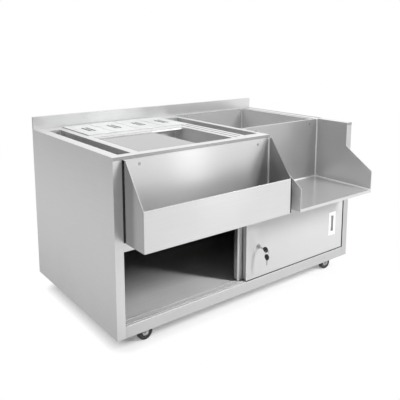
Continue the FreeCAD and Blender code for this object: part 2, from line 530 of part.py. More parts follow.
for side, foot_left in (("left", "(shelf_left + shelf_foot_inset)"),
                        ("right", f"({SHELF_RIGHT} - shelf_foot_inset - shelf_foot_width)")):
    foot_x = (foot_left, f"{foot_left} + shelf_foot_width")
    foot_z = (f"{APRON_BOTTOM} + {GAUGE}", f"shelf_level - {GAUGE}")
    foot = block(f"{side}_foot_outer", foot_x, ("0", f"step_depth - {GAUGE}"), foot_z)
    hollow = block(f"{side}_foot_inner", (f"{foot_x[0]} + {GAUGE}", f"{foot_x[1]} - {GAUGE}"),
                   ("0", f"step_depth - {GAUGE}"), (f"{foot_z[0]} + {GAUGE}", foot_z[1]))
    feet.append(cut(f"{side}_foot", foot, hollow))
shelf_solid = union("shelf_solid", right_guard, left_guard, shelf_floor, shelf_front,
                    shelf_back, *feet)
node(cut("shelf", shelf_solid, *screw_holes("shelf")), "step_shelf")

# Sliding doors: a folded skin and a flat back each, with a flush pull and nylon glides
SKIN_BOTTOM = "(rail_height + door_edge_gap)"
SKIN_TOP = f"({DOOR_TOP} - door_edge_gap)"
CORE_Z = (f"({SKIN_BOTTOM} + door_body_inset)", f"({SKIN_TOP} - door_body_inset)")
LOCK_X = f"({OUTER_DOOR_LEFT} + lock_edge)"
LOCK_START = f"({OUTER_DOOR_FRONT} - lock_flange_thickness)"
BARREL_END = f"({OUTER_DOOR_FRONT} + lock_barrel_length)"
PULL_LEFTS = {"outer": f"({OUTER_DOOR_LEFT} + door_width - pull_edge - pull_width)",
              "inner": f"({INNER_DOOR_LEFT} + pull_edge)"}


def door(side, left, front):
    """One hollow door; the outer one also has the hole for its lock."""
    right = f"({left} + door_width)"
    skin_back = f"({front} + {GAUGE})"
    back_face = f"({front} + door_thickness)"
    core_back = f"({back_face} - {GAUGE})"
    plate = block(f"{side}_plate", (left, right), (front, skin_back), (SKIN_BOTTOM, SKIN_TOP))
    returns = cut(f"{side}_returns",
                  block(f"{side}_returns_outer", (left, right), (skin_back, core_back), CORE_Z),
                  block(f"{side}_returns_inner",
                        (f"{left} + {GAUGE}", f"{right} - {GAUGE}"), (skin_back, core_back),
                        (f"{CORE_Z[0]} + {GAUGE}", f"{CORE_Z[1]} - {GAUGE}")))
    skin = union(f"{side}_skin_solid", plate, returns)

    pull_left = PULL_LEFTS[side]
    pull_x = (pull_left, f"({pull_left} + pull_width)")
    pull_z = ("(pull_level - pull_height / 2)", "(pull_level + pull_height / 2)")
    cup_x = (f"({pull_x[0]} + pull_bezel)", f"({pull_x[1]} - pull_bezel)")
    cup_z = (f"({pull_z[0]} + pull_end_bezel)", f"({pull_z[1]} - pull_end_bezel)")
    shell_x = (f"({cup_x[0]} - pull_wall)", f"({cup_x[1]} + pull_wall)")
    shell_z = (f"({cup_z[0]} - pull_wall)", f"({cup_z[1]} + pull_wall)")
    bezel = block(f"{side}_bezel", pull_x, (f"{front} - pull_proud", front), pull_z)
    shell = block(f"{side}_cup", shell_x, (f"{front} - pull_proud", f"{front} + pull_depth"),
                  shell_z)
    hollow = block(f"{side}_cup_hollow", cup_x,
                   (f"{front} - 2 * pull_proud", f"{front} + pull_depth - pull_wall"), cup_z)
    node(cut(f"{side}_pull", union(f"{side}_pull_solid", bezel, shell), hollow),
         f"{side}_door_pull")

    holes = [block(f"{side}_pull_hole",
                   (f"{shell_x[0]} - pull_play", f"{shell_x[1]} + pull_play"),
                   (f"{front} - pull_proud", f"{skin_back} + pull_proud"),
                   (f"{shell_z[0]} - pull_play", f"{shell_z[1]} + pull_play"))]
    if side == "outer":
        holes.append(rod("lock_hole", "y", (LOCK_X, LOCK_START, "lock_level"),
                         "lock_barrel_radius + hole_play", "2 * lock_flange_thickness"))
    node(cut(f"{side}_skin", skin, *holes), f"{side}_door_skin")
    node(block(f"{side}_back", (left, right), (core_back, back_face), CORE_Z),
         f"{side}_door_back")

    middle = f"({front} + door_thickness / 2)"
    glide_y = (f"{middle} - glide_width / 2", f"{middle} + glide_width / 2")
    groove_half = "(track_rib_width / 2 + glide_play)"
    groove_y = (f"{middle} - {groove_half}", f"{middle} + {groove_half}")
    lower_groove_top = "rail_height + track_rib_height + glide_play"
    upper_groove_bottom = f"{DOOR_TOP} - track_rib_height - glide_play"
    glides = []
    for end, glide_left in (("left", f"({left} + glide_inset)"),
                            ("right", f"({right} - glide_inset - glide_length)")):
        glide_x = (glide_left, f"{glide_left} + glide_length")
        for level, solid_z, groove_z in (
                ("lower", ("rail_height + glide_play", CORE_Z[0]),
                 ("rail_height", lower_groove_top)),
                ("upper", (CORE_Z[1], f"{DOOR_TOP} - glide_play"),
                 (upper_groove_bottom, DOOR_TOP))):
            name = f"{side}_{level}_{end}_glide"
            glides.append(cut(name, block(f"{name}_solid", glide_x, glide_y, solid_z),
                              block(f"{name}_groove", glide_x, groove_y, groove_z)))
    node(group(f"{side}_glide_set", *glides), f"{side}_door_glides")


door("outer", OUTER_DOOR_LEFT, OUTER_DOOR_FRONT)
door("inner", INNER_DOOR_LEFT, INNER_DOOR_FRONT)

# Lock in the outer door: barrel, turning plug with its keyway, and cam
lock_flange = rod("lock_flange", "y", (LOCK_X, LOCK_START, "lock_level"), "lock_flange_radius",
                  "lock_flange_thickness")
lock_tube = rod("lock_tube", "y", (LOCK_X, OUTER_DOOR_FRONT, "lock_level"),
                "lock_barrel_radius", "lock_barrel_length")
lock_bore = rod("lock_bore", "y", (LOCK_X, LOCK_START, "lock_level"), "plug_radius + plug_play",
                "lock_flange_thickness + lock_barrel_length")
node(cut("lock_body", union("lock_solid", lock_flange, lock_tube), lock_bore), "lock_barrel")
plug_solid = rod("plug_solid", "y", (LOCK_X, LOCK_START, "lock_level"), "plug_radius",
                 f"{BARREL_END} - {LOCK_START} + glide_play")
KEY_X = (f"{LOCK_X} - key_thickness / 2", f"{LOCK_X} + key_thickness / 2")
KEY_Z = ("lock_level - key_blade_width / 2", "lock_level + key_blade_width / 2")
keyway = block("keyway", (f"{KEY_X[0]} - key_slot_play", f"{KEY_X[1]} + key_slot_play"),
               (f"{LOCK_START} - key_slot_play", f"{LOCK_START} + key_insert + key_slot_play"),
               (f"{KEY_Z[0]} - key_slot_play", f"{KEY_Z[1]} + key_slot_play"))
node(cut("plug", plug_solid, keyway), "lock_plug")
CAM_START = f"{BARREL_END} + glide_play"
node(block("cam", (f"{LOCK_X} - cam_width / 2", f"{LOCK_X} + cam_width / 2"),
           (CAM_START, f"{CAM_START} + cam_thickness"),
           ("lock_level - cam_length + cam_width / 2", "lock_level + cam_width / 2")), "lock_cam")

# Keys: one in the lock, a spare that hangs from its ring; each has a round moulded bow
BOW_X = f"{LOCK_X} - bow_thickness / 2"
BOW_Y = f"({LOCK_START} - key_reach - bow_radius)"
HOLE_REACH = "(bow_radius - bow_hole_inset)"
HOLE_Y = f"({BOW_Y} - {HOLE_REACH})"
key_blade = block("key_blade", KEY_X, (BOW_Y, f"{LOCK_START} + key_insert"), KEY_Z)
key_bow = rod("key_bow", "x", (BOW_X, BOW_Y, "lock_level"), "bow_radius", "bow_thickness")
key_hole = rod("key_hole", "x", (BOW_X, HOLE_Y, "lock_level"), "bow_hole_radius",
               "bow_thickness")
node(cut("key_solid", union("key_form", key_blade, key_bow), key_hole), "key")
ring = doc.addObject("Part::Torus", "ring")
ring.Placement = FreeCAD.Placement(FreeCAD.Vector(), TURNS["y"])
bind(ring, "Radius1", "ring_radius")
bind(ring, "Radius2", "ring_wire_radius")
place(ring, LOCK_X, HOLE_Y, "lock_level - ring_radius")
node(ring, "key_ring")
SPARE_HOLE_Z = "(lock_level - 2 * ring_radius)"
SPARE_Z = f"({SPARE_HOLE_Z} - {HOLE_REACH})"
spare_bow = rod("spare_bow", "x", (BOW_X, HOLE_Y, SPARE_Z), "bow_radius", "bow_thickness")
spare_hole = rod("spare_hole", "x", (BOW_X, HOLE_Y, SPARE_HOLE_Z), "bow_hole_radius",
                 "bow_thickness")
spare_blade = block("spare_blade", KEY_X,
                    (f"{HOLE_Y} - key_blade_width / 2", f"{HOLE_Y} + key_blade_width / 2"),
                    (f"{SPARE_Z} - bow_radius - key_blade_length", SPARE_Z))
node(cut("spare_solid", union("spare_form", spare_bow, spare_blade), spare_hole), "spare_key")

# Casters: plates bolted under two cross channels, swivel forks, wheels and axle bolts
PLATE_TOP = "(caster_height - floor_clearance)"
PLATE_UNDER = f"({PLATE_TOP} - caster_plate_gauge)"
AXLE_LEVEL = "(wheel_radius - floor_clearance)"
CROWN_UNDER = f"({AXLE_LEVEL} + wheel_radius + fork_crown_gap)"
CROWN_TOP = f"({CROWN_UNDER} + fork_gauge)"
FORK_INSIDE = "(wheel_width / 2 + hub_proud + fork_gap)"
FORK_OUTSIDE = f"({FORK_INSIDE} + fork_gauge)"
LEFT_SWIVEL = "caster_side_inset"
RIGHT_SWIVEL = "(body_width - caster_side_inset)"
FRONT_SWIVEL = "caster_end_inset"
REAR_SWIVEL = "(body_depth - caster_end_inset)"
CASTERS = [(LEFT_SWIVEL, FRONT_SWIVEL), (RIGHT_SWIVEL, FRONT_SWIVEL),
           (LEFT_SWIVEL, REAR_SWIVEL), (RIGHT_SWIVEL, REAR_SWIVEL)]
BOLT_HALF = "bolt_spacing / 2"


def bolt_holes(name, x, y):
    """Four clearance holes through a caster plate and the channel above it."""
    return [rod(f"{name}_hole_{number}", "z",
                (f"{x} {across} {BOLT_HALF}", f"{y} {along} {BOLT_HALF}",
                 f"{PLATE_UNDER} - caster_plate_gauge"),
                "bolt_radius + bolt_play", f"3 * caster_plate_gauge + {GAUGE}")
            for number, (across, along) in enumerate(("--", "-+", "+-", "++"))]


channels = []
for row, y in (("front", FRONT_SWIVEL), ("rear", REAR_SWIVEL)):
    channel_y = (f"({y} - channel_width / 2)", f"({y} + channel_width / 2)")
    channel_x = (GAUGE, f"{RIGHT} - {GAUGE}")
    solid = block(f"{row}_channel_outer", channel_x, channel_y, (PLATE_TOP, FLOOR_SHEET))
    hollow = block(f"{row}_channel_inner", channel_x,
                   (f"{channel_y[0]} + {GAUGE}", f"{channel_y[1]} - {GAUGE}"),
                   (f"{PLATE_TOP} + {GAUGE}", FLOOR_SHEET))
    holes = [hole for side, x in (("left", LEFT_SWIVEL), ("right", RIGHT_SWIVEL))
             for hole in bolt_holes(f"{row}_{side}_channel", x, y)]
    channels.append(cut(f"{row}_channel", solid, hollow, *holes))
node(group("channel_set", *channels), "base_channels")

plates = []
bolts = []
for number, (x, y) in enumerate(CASTERS, start=1):
    name = f"caster_{number}"
    half = "caster_plate_size / 2"
    plate = block(f"{name}_plate_solid", (f"{x} - {half}", f"{x} + {half}"),
                  (f"{y} - {half}", f"{y} + {half}"), (PLATE_UNDER, PLATE_TOP))
    pin_hole = rod(f"{name}_pin_hole", "z", (x, y, PLATE_UNDER), "kingpin_radius + kingpin_play",
                   "caster_plate_gauge")
    plates.append(cut(f"{name}_plate", plate, pin_hole, *bolt_holes(f"{name}_plate", x, y)))
    for spot, (across, along) in enumerate(("--", "-+", "+-", "++")):
        bolt_x = f"{x} {across} {BOLT_HALF}"
        bolt_y = f"{y} {along} {BOLT_HALF}"
        bolt = f"{name}_bolt_{spot}"
        nut_seat = f"{PLATE_TOP} + {GAUGE}"
        head = rod(f"{bolt}_head", "z", (bolt_x, bolt_y, f"{PLATE_UNDER} - bolt_head_height"),
                   "bolt_head_radius", "bolt_head_height")
        shank = rod(f"{bolt}_shank", "z", (bolt_x, bolt_y, PLATE_UNDER), "bolt_radius",
                    f"caster_plate_gauge + {GAUGE} + bolt_head_height")
        nut = rod(f"{bolt}_nut", "z", (bolt_x, bolt_y, nut_seat), "bolt_head_radius",
                  "bolt_head_height")
        bolts.append(union(bolt, head, shank, nut))

    axle_x = f"({x} + caster_trail)"
    crown = block(f"{name}_crown", (f"{x} - fork_crown_tail", f"{axle_x} + fork_ear_radius"),
                  (f"{y} - {FORK_OUTSIDE}", f"{y} + {FORK_OUTSIDE}"), (CROWN_UNDER, CROWN_TOP))
    race = rod(f"{name}_race", "z", (x, y, CROWN_TOP), "race_radius",
               f"{PLATE_UNDER} - race_gap - {CROWN_TOP}")
    kingpin = rod(f"{name}_kingpin", "z", (x, y, CROWN_TOP), "kingpin_radius",
                  f"{PLATE_TOP} - {CROWN_TOP}")
    legs = []
    for side, inner in (("near", f"-{FORK_OUTSIDE}"), ("far", FORK_INSIDE)):
        leg_y = f"{y} + {inner}"
        ear_level = "fork_ear_radius"
        crown_level = f"{CROWN_UNDER} - {AXLE_LEVEL} + fork_ear_radius"
        reach = "fork_crown_tail + caster_trail"
        leg = folded(f"{name}_{side}_leg", "XZ_Plane", [
            ("0", crown_level), (reach, ear_level), (f"{reach} + fork_ear_radius", ear_level),
            (f"{reach} + fork_ear_radius", crown_level)],
            "fork_gauge", (f"{x} - fork_crown_tail", leg_y, f"{AXLE_LEVEL} - fork_ear_radius"))
        ear = rod(f"{name}_{side}_ear", "y", (axle_x, leg_y, AXLE_LEVEL), "fork_ear_radius",
                  "fork_gauge")
        legs.extend((leg, ear))
    axle_hole = rod(f"{name}_axle_hole", "y", (axle_x, f"{y} - {FORK_OUTSIDE}", AXLE_LEVEL),
                    "axle_radius + axle_play", f"2 * {FORK_OUTSIDE}")
    fork = cut(f"{name}_fork", union(f"{name}_fork_solid", crown, race, kingpin, *legs),
               axle_hole)
    node(fork, f"caster_fork_{number}")

    axle_seat = f"{y} - {FORK_OUTSIDE}"
    shank = rod(f"{name}_axle_shank", "y", (axle_x, axle_seat, AXLE_LEVEL), "axle_radius",
                f"2 * {FORK_OUTSIDE}")
    head = rod(f"{name}_axle_head", "y",
               (axle_x, f"{axle_seat} - axle_head_height", AXLE_LEVEL), "axle_head_radius",
               "axle_head_height")
    nut = rod(f"{name}_axle_nut", "y", (axle_x, f"{y} + {FORK_OUTSIDE}", AXLE_LEVEL),
              "axle_head_radius", "axle_head_height")
    node(union(f"{name}_axle", shank, head, nut), f"caster_axle_{number}")

    # The wheel's half section turns about its axle: hub, web and round-shouldered tyre
    wheel = doc.addObject("PartDesign::Body", f"{name}_wheel")
    turned = wheel.newObject("PartDesign::Revolution", f"{name}_wheel_turned")
    tread = "hub_proud + wheel_width"
    hub_end = "2 * hub_proud + wheel_width"
    rim = "wheel_radius - tyre_depth"
    turned.Profile = draw(wheel, "XY_Plane", [
        ("axle_radius + axle_play", "0"), ("hub_radius", "0"),
        ("hub_radius", "hub_proud + web_recess"), (rim, "hub_proud + web_recess"),
        (rim, "hub_proud"), ("wheel_radius - tyre_round", "hub_proud"),
        ("wheel_radius", "hub_proud + tyre_round"), ("wheel_radius", f"{tread} - tyre_round"),
        ("wheel_radius - tyre_round", tread), (rim, tread), (rim, f"{tread} - web_recess"),
        ("hub_radius", f"{tread} - web_recess"), ("hub_radius", hub_end),
        ("axle_radius + axle_play", hub_end)])
    turned.ReferenceAxis = (turned.Profile[0], ["V_Axis"])
    turned.Angle = 360
    place(wheel, axle_x, f"{y} - wheel_width / 2 - hub_proud", AXLE_LEVEL)
    node(wheel, f"caster_wheel_{number}")
node(group("plate_set", *plates), "caster_plates")
node(group("bolt_set", *bolts), "caster_bolts")

# Every object has to be sound before any file is written
doc.recompute()
failed = [item.Name for item in doc.Objects
          if "Invalid" in item.State or "Error" in item.State]
unsound = [item.Label for item in NODES if item.Shape.isNull() or not item.Shape.isValid()]
if failed or unsound:
    raise RuntimeError(f"failed objects: {failed}, unsound shapes: {unsound}")
os.makedirs("parts", exist_ok=True)
for item in NODES:
    item.Shape.exportStep(f"parts/{item.Label}.step")
print(len(NODES), "sub-parts written")
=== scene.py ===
import bmesh
import bpy
import json
import math
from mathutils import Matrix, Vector


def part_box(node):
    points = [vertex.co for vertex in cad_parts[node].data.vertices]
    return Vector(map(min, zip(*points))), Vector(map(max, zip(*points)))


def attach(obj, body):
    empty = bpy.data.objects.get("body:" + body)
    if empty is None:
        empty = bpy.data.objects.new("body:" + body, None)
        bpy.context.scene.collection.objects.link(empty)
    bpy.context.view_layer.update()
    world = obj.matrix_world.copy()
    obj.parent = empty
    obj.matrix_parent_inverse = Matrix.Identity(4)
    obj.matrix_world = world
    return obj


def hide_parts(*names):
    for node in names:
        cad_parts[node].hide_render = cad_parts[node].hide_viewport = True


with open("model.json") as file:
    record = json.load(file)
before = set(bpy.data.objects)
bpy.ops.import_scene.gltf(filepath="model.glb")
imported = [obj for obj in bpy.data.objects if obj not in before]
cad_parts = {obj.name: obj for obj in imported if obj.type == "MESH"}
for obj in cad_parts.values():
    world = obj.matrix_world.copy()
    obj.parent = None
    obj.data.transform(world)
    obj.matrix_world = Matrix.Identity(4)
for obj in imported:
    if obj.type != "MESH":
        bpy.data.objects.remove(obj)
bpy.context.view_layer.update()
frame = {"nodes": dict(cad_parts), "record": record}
bpy.context.scene.view_settings.view_transform = "Standard"


# Cabinet: side panels folded round into stiles, back, floor sheet, rails and apron. All are 1.5 mm
# stainless sheet, brushed by belt before it is cut. The folds and cut edges are broken with a file,
# so every edge carries a hairline of light.
BODY_OF = {node: body for body, nodes in frame["record"]["behaviour"]["bodies"].items()
           for node in nodes}


def add_sockets(tree, side, sockets):
    """Named inputs or outputs of one node group."""
    for label, kind in sockets:
        tree.interface.new_socket(label, in_out=side, socket_type=f"NodeSocket{kind}")


def add_node(tree, kind, **values):
    """One node, with its own settings first and its unlinked inputs after them."""
    node = tree.nodes.new(kind)
    for label, value in values.items():
        if hasattr(node, label):
            setattr(node, label, value)
        else:
            node.inputs[label.replace("_", " ")].default_value = value
    return node


def brush_marks_group():
    """Belt marks along the grain and slow clouds across the sheet, for every steel here."""
    tree = bpy.data.node_groups.new("brush_marks", "ShaderNodeTree")
    add_sockets(tree, "INPUT", (("Grain", "Vector"), ("Place", "Vector"), ("Steel", "Color"),
                                ("Polish", "Float"), ("Contrast", "Float")))
    add_sockets(tree, "OUTPUT", (("Colour", "Color"), ("Roughness", "Float"), ("Height", "Float")))
    given = tree.nodes.new("NodeGroupInput")
    result = tree.nodes.new("NodeGroupOutput")
    marks = add_node(tree, "ShaderNodeTexNoise", Scale=1.0, Detail=4.0, Roughness=0.65)
    clouds = add_node(tree, "ShaderNodeTexNoise", Scale=4.0, Detail=2.0, Roughness=0.5)
    tree.links.new(given.outputs["Grain"], marks.inputs["Vector"])
    tree.links.new(given.outputs["Place"], clouds.inputs["Vector"])
    both = add_node(tree, "ShaderNodeMath", operation="ADD")
    tree.links.new(marks.outputs["Fac"], both.inputs[0])
    tree.links.new(clouds.outputs["Fac"], both.inputs[1])
    centred = add_node(tree, "ShaderNodeMath", operation="SUBTRACT")
    centred.inputs[1].default_value = 1.0
    tree.links.new(both.outputs[0], centred.inputs[0])
    strength = add_node(tree, "ShaderNodeMath", operation="MULTIPLY")
    tree.links.new(centred.outputs[0], strength.inputs[0])
    tree.links.new(given.outputs["Contrast"], strength.inputs[1])
    lighter = add_node(tree, "ShaderNodeMath", operation="ADD")
    lighter.inputs[1].default_value = 1.0
    tree.links.new(strength.outputs[0], lighter.inputs[0])
    tinted = add_node(tree, "ShaderNodeVectorMath", operation="SCALE")
    tree.links.new(given.outputs["Steel"], tinted.inputs[0])
    tree.links.new(lighter.outputs[0], tinted.inputs["Scale"])
    tree.links.new(tinted.outputs[0], result.inputs["Colour"])
    rougher = add_node(tree, "ShaderNodeMath", operation="ADD")
    tree.links.new(strength.outputs[0], rougher.inputs[0])
    tree.links.new(given.outputs["Polish"], rougher.inputs[1])
    tree.links.new(rougher.outputs[0], result.inputs["Roughness"])
    tree.links.new(marks.outputs["Fac"], result.inputs["Height"])
    return tree


BRUSH_MARKS = brush_marks_group()
LEVEL = ((4, 4, 260), (0, 0, 1))
UPRIGHT = ((260, 260, 4), (1, 1, 0))
SIDE_TO_SIDE = ((4, 260, 260), (0, 1, 0))
FRONT_TO_BACK = ((260, 4, 260), (1, 0, 0))
COARSE = ((3, 140, 140), (0, 1, 0))


def steel(name, grain, tone, polish, contrast=0.12, metal=0.9, spread=0.5):
    """A metal finish: its grain, how light it is, how rough, and how far the grain smears light."""
    stretch, across = grain
    cool = 1.005
    finish = bpy.data.materials.new(name)
    finish.use_nodes = True
    tree = finish.node_tree
    shader = tree.nodes["Principled BSDF"]
    shader.inputs["Metallic"].default_value = metal
    shader.inputs["Anisotropic"].default_value = spread
    place = tree.nodes.new("ShaderNodeTexCoord")
    grain_place = add_node(tree, "ShaderNodeMapping", Scale=stretch)
    smear = add_node(tree, "ShaderNodeCombineXYZ", X=across[0], Y=across[1], Z=across[2])
    marks = add_node(tree, "ShaderNodeGroup", node_tree=BRUSH_MARKS)
    for label, value in (("Steel", (tone, tone, tone * cool, 1)), ("Polish", polish),
                         ("Contrast", contrast)):
        marks.inputs[label].default_value = value
    relief = add_node(tree, "ShaderNodeBump", Strength=0.012, Distance=0.0002)
    tree.links.new(smear.outputs["Vector"], shader.inputs["Tangent"])
    tree.links.new(place.outputs["Object"], grain_place.inputs["Vector"])
    tree.links.new(grain_place.outputs["Vector"], marks.inputs["Grain"])
    tree.links.new(place.outputs["Object"], marks.inputs["Place"])
    tree.links.new(marks.outputs["Colour"], shader.inputs["Base Color"])
    tree.links.new(marks.outputs["Roughness"], shader.inputs["Roughness"])
    tree.links.new(marks.outputs["Height"], relief.inputs["Height"])
    tree.links.new(relief.outputs["Normal"], shader.inputs["Normal"])
    return finish


def add_piece(name, mesh, body, slot, *replaced):
    """Puts a finished mesh in the scene, on its body, in place of the CAD nodes it stands for."""
    piece = bpy.data.objects.new(name, mesh)
    bpy.context.scene.collection.objects.link(piece)
    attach(piece, body)
    if replaced:
        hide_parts(*replaced)
    return piece


def break_edges(piece, radius, rounds=2):
    """A small radius on every sharp edge."""
    edge = piece.modifiers.new("broken_edges", "BEVEL")
    edge.width = radius
    edge.segments = rounds
    edge.limit_method = "ANGLE"
    edge.angle_limit = math.radians(40)
    edge.harden_normals = True


def made_from(node, finish, slot="stainless_sheet", radius=0.0004, rounds=2, zones=()):
    """A CAD node's own shape with merged corners and broken edges; zones take other finishes."""
    work = bmesh.new()
    work.from_mesh(frame["nodes"][node].data)
    bmesh.ops.remove_doubles(work, verts=work.verts, dist=1e-6)
    bmesh.ops.dissolve_limit(work, angle_limit=math.radians(1), verts=work.verts,
                             edges=work.edges)
    work.verts.index_update()
    mesh = bpy.data.meshes.new(f"{node}_made")
    mesh.from_pydata([corner.co for corner in work.verts], [],
                     [[corner.index for corner in face.verts] for face in work.faces])
    work.free()
    mesh.shade_smooth()
    mesh.set_sharp_from_angle(angle=math.radians(30))
    mesh.materials.append(finish)
    for zone_finish, belongs in zones:
        mesh.materials.append(zone_finish)
        for face in mesh.polygons:
            if belongs(face.center, face.normal):
                face.material_index = len(mesh.materials) - 1
    piece = add_piece(f"{node}_made", mesh, BODY_OF[node], slot, node)
    break_edges(piece, radius, rounds)


MM = 0.001
BODY_CORNER = Vector((-700, -317.5, 75))


def spot(x, y, z):
    """A point given in mm from the cabinet's front left bottom corner."""
    return (Vector((x, y, z)) + BODY_CORNER) * MM


SQUARE_ON = 0.7


def facing(x, y, z):
    """Picks the faces that look one way, for a zone with its own finish."""
    return lambda middle, normal: normal.dot(Vector((x, y, z))) > SQUARE_ON


def faces_left_or_right(middle, normal):
    """Picks the faces that look to either side."""
    return abs(normal.x) > SQUARE_ON


front_steel = steel("front_sheet", LEVEL, 0.71, 0.32)
# Darker copies of the front sheet for side faces and the right stile: painted shade.
side_painted_shade_steel = steel("side_sheet_painted_shade", LEVEL, 0.63, 0.36, 0.16)
right_stile_painted_shade_steel = steel("right_stile_painted_shade", LEVEL, 0.58, 0.32)
back_steel = steel("back_sheet", LEVEL, 0.66, 0.38, 0.16)
# Near black: painted shade on the cabinet's inner faces, door backs and well underside.
painted_shade_inside = steel("cabinet_inside_painted_shade", LEVEL, 0.025, 0.45, 0.07, 1.0)
# The bottom rail is a darker copy of the front sheet: painted shade.
kick_painted_shade_steel = steel("bottom_rail_painted_shade", LEVEL, 0.60, 0.36)
floor_steel = steel("floor_sheet", COARSE, 0.82, 0.40, 0.26, 0.15)
# The ribs are a darker copy of the floor sheet: painted shade that tones down the light on them.
rib_painted_shade_steel = steel("door_rib_painted_shade", SIDE_TO_SIDE, 0.52, 0.40, 0.04, 0.15)
# The panels' inner faces are near black as painted shade.
made_from("left_side_panel", front_steel,
          zones=[(side_painted_shade_steel, faces_left_or_right), (painted_shade_inside, facing(1, 0, 0))])
made_from("right_side_panel", right_stile_painted_shade_steel,
          zones=[(side_painted_shade_steel, faces_left_or_right), (painted_shade_inside, facing(-1, 0, 0))])
made_from("back_panel", back_steel, zones=[(painted_shade_inside, facing(0, -1, 0))])
made_from("base_shelf", floor_steel)
behind_front = spot(0, 5, 0).y
above_floor = spot(0, 0, 50.4).z
made_from("bottom_rail", kick_painted_shade_steel, zones=[
    (floor_steel, lambda middle, normal: middle.y > behind_front),
    (rib_painted_shade_steel, lambda middle, normal: middle.y > behind_front and middle.z > above_floor)])
for rail in ("top_rail", "front_apron", "step_ledge"):
    made_from(rail, front_steel)


# Worktop and upstand: one plate, cut out for every bin, and a folded channel along its rear edge.
# The plate is polished finer than the cabinet, so the rims between the bins look almost white.
top_steel = steel("worktop_sheet", SIDE_TO_SIDE, 0.86, 0.34, 0.05, 0.8)
# The plate's front-facing lip is a darker copy of it: painted shade.
lip_painted_shade_steel = steel("worktop_lip", LEVEL, 0.38, 0.30)
upstand_steel = steel("upstand_sheet", LEVEL, 0.75, 0.30, 0.10, 0.9, 0.8)
made_from("worktop", top_steel, radius=0.0005, zones=[(lip_painted_shade_steel, facing(0, -1, 0))])
made_from("upstand", upstand_steel, radius=0.0005)


def solid_piece(work, name, finish, body, slot, *replaced, crease=30):
    """Makes a piece of one finish from a mesh in work; edges past the crease angle stay sharp."""
    bmesh.ops.recalc_face_normals(work, faces=work.faces)
    mesh = bpy.data.meshes.new(name)
    work.to_mesh(mesh)
    work.free()
    mesh.shade_smooth()
    mesh.set_sharp_from_angle(angle=math.radians(crease))
    mesh.materials.append(finish)
    return add_piece(name, mesh, body, slot, *replaced)


def flat_part(name, outlines, thickness, place, body, slot, finish, radius, *replaced):
    """A flat part: its outline and holes of (along, across) in mm, given a thickness along X."""
    work = bmesh.new()
    edges = []
    for outline in outlines:
        corners = [work.verts.new(place(along, across)) for along, across in outline]
        for corner, after in zip(corners, corners[1:] + corners[:1]):
            edges.append(work.edges.new((corner, after)))
    bmesh.ops.triangle_fill(work, use_beauty=True, edges=edges)
    grown = bmesh.ops.extrude_face_region(work, geom=work.faces[:])["geom"]
    far_side = [part for part in grown if isinstance(part, bmesh.types.BMVert)]
    bmesh.ops.translate(work, verts=far_side, vec=(thickness * MM, 0, 0))
    bmesh.ops.translate(work, verts=work.verts, vec=(-thickness * MM / 2, 0, 0))
    break_edges(solid_piece(work, name, finish, body, slot, *replaced), radius)


END_CAP = [(783, 726), (799, 726), (799, 781), (796, 784), (786, 784), (783, 781)]
# The caps take the darker side finish, as painted shade.
for side, x in (("left", 1.4), ("right", 1398.6)):
    flat_part(f"upstand_{side}_cap", [END_CAP], 1.2, lambda y, z: spot(x, y, z), "frame",
              "stainless_sheet", side_painted_shade_steel, 0.0003)


# Tool troughs, bottle well and ice bin: folded tubs hung under the worktop. Their corners are
# welded and ground to a small inside radius, with a near-white finish that is partly a painted
# highlight, so it shows as a bright upright line.
def add_cove(work, start, end, side_a, side_b, radius):
    """A ground inside corner between two walls, from start to end along their meeting line."""
    a, b = Vector(side_a) * radius, Vector(side_b) * radius
    steps = 6
    section = [Vector()]
    for step in range(steps + 1):
        turn = math.pi / 2 * step / steps
        section.append(a + b - b * math.cos(turn) - a * math.sin(turn))
    rings = [[work.verts.new(end_point + offset) for offset in section]
             for end_point in (start, end)]
    count = len(section)
    for index in range(count):
        after = (index + 1) % count
        work.faces.new((rings[0][index], rings[0][after], rings[1][after], rings[1][index]))
    work.faces.new(rings[0][::-1])
    work.faces.new(rings[1])


def coves(name, lines, radius, finish):
    """One piece of ground corners; each line is its two ends and the ways its walls run."""
    work = bmesh.new()
    for start, end, side_a, side_b in lines:
        add_cove(work, spot(*start), spot(*end), side_a, side_b, radius * MM)
    solid_piece(work, name, finish, "frame", "stainless_sheet")


def tub_lines(x0, x1, y0, y1, low, high):
    """The four upright corners and the four floor corners of an open tub."""
    lines = []
    for x, way_x in ((x0, 1), (x1, -1)):
        for y, way_y in ((y0, 1), (y1, -1)):
            lines.append(((x, y, low), (x, y, high), (way_x, 0, 0), (0, way_y, 0)))
    for x, way_x in ((x0, 1), (x1, -1)):
        lines.append(((x, y0, low), (x, y1, low), (way_x, 0, 0), (0, 0, 1)))
    for y, way_y in ((y0, 1), (y1, -1)):
        lines.append(((x0, y, low), (x1, y, low), (0, way_y, 0), (0, 0, 1)))
    return lines


tub_steel = steel("tub_sheet", LEVEL, 0.84, 0.24, 0.08, 0.75)
bin_steel = steel("ice_bin_sheet", LEVEL, 0.92, 0.30, 0.08, 0.08)
trough_steel = steel("trough_sheet", LEVEL, 0.66, 0.30, 0.06, 0.6)
# Near white with little metal: a real ground corner, partly a painted highlight.
weld_highlight_steel = steel("ground_weld_painted_highlight", UPRIGHT, 0.95, 0.30, 0.04, 0.4, 0.0)
made_from("left_tool_trough", trough_steel)
made_from("right_tool_trough", trough_steel)
# Its downward faces are near black as painted shade.
made_from("bottle_well", tub_steel, zones=[(painted_shade_inside, facing(0, 0, -1))])
made_from("ice_bin_liner", bin_steel)
plate_under = 723.5
cover_under = 714
uprights = slice(4)
coves("trough_corners", tub_lines(42, 100, 38, 700, 635, plate_under)
      + tub_lines(699, 778, 55, 700, 635, plate_under), 4, weld_highlight_steel)
coves("bottle_well_corners", tub_lines(806, 1320, 205, 765, 425, plate_under), 5, weld_highlight_steel)
coves("ice_bin_corners", tub_lines(133, 612, 38, 468, 462, cover_under)[uprights], 6, weld_highlight_steel)


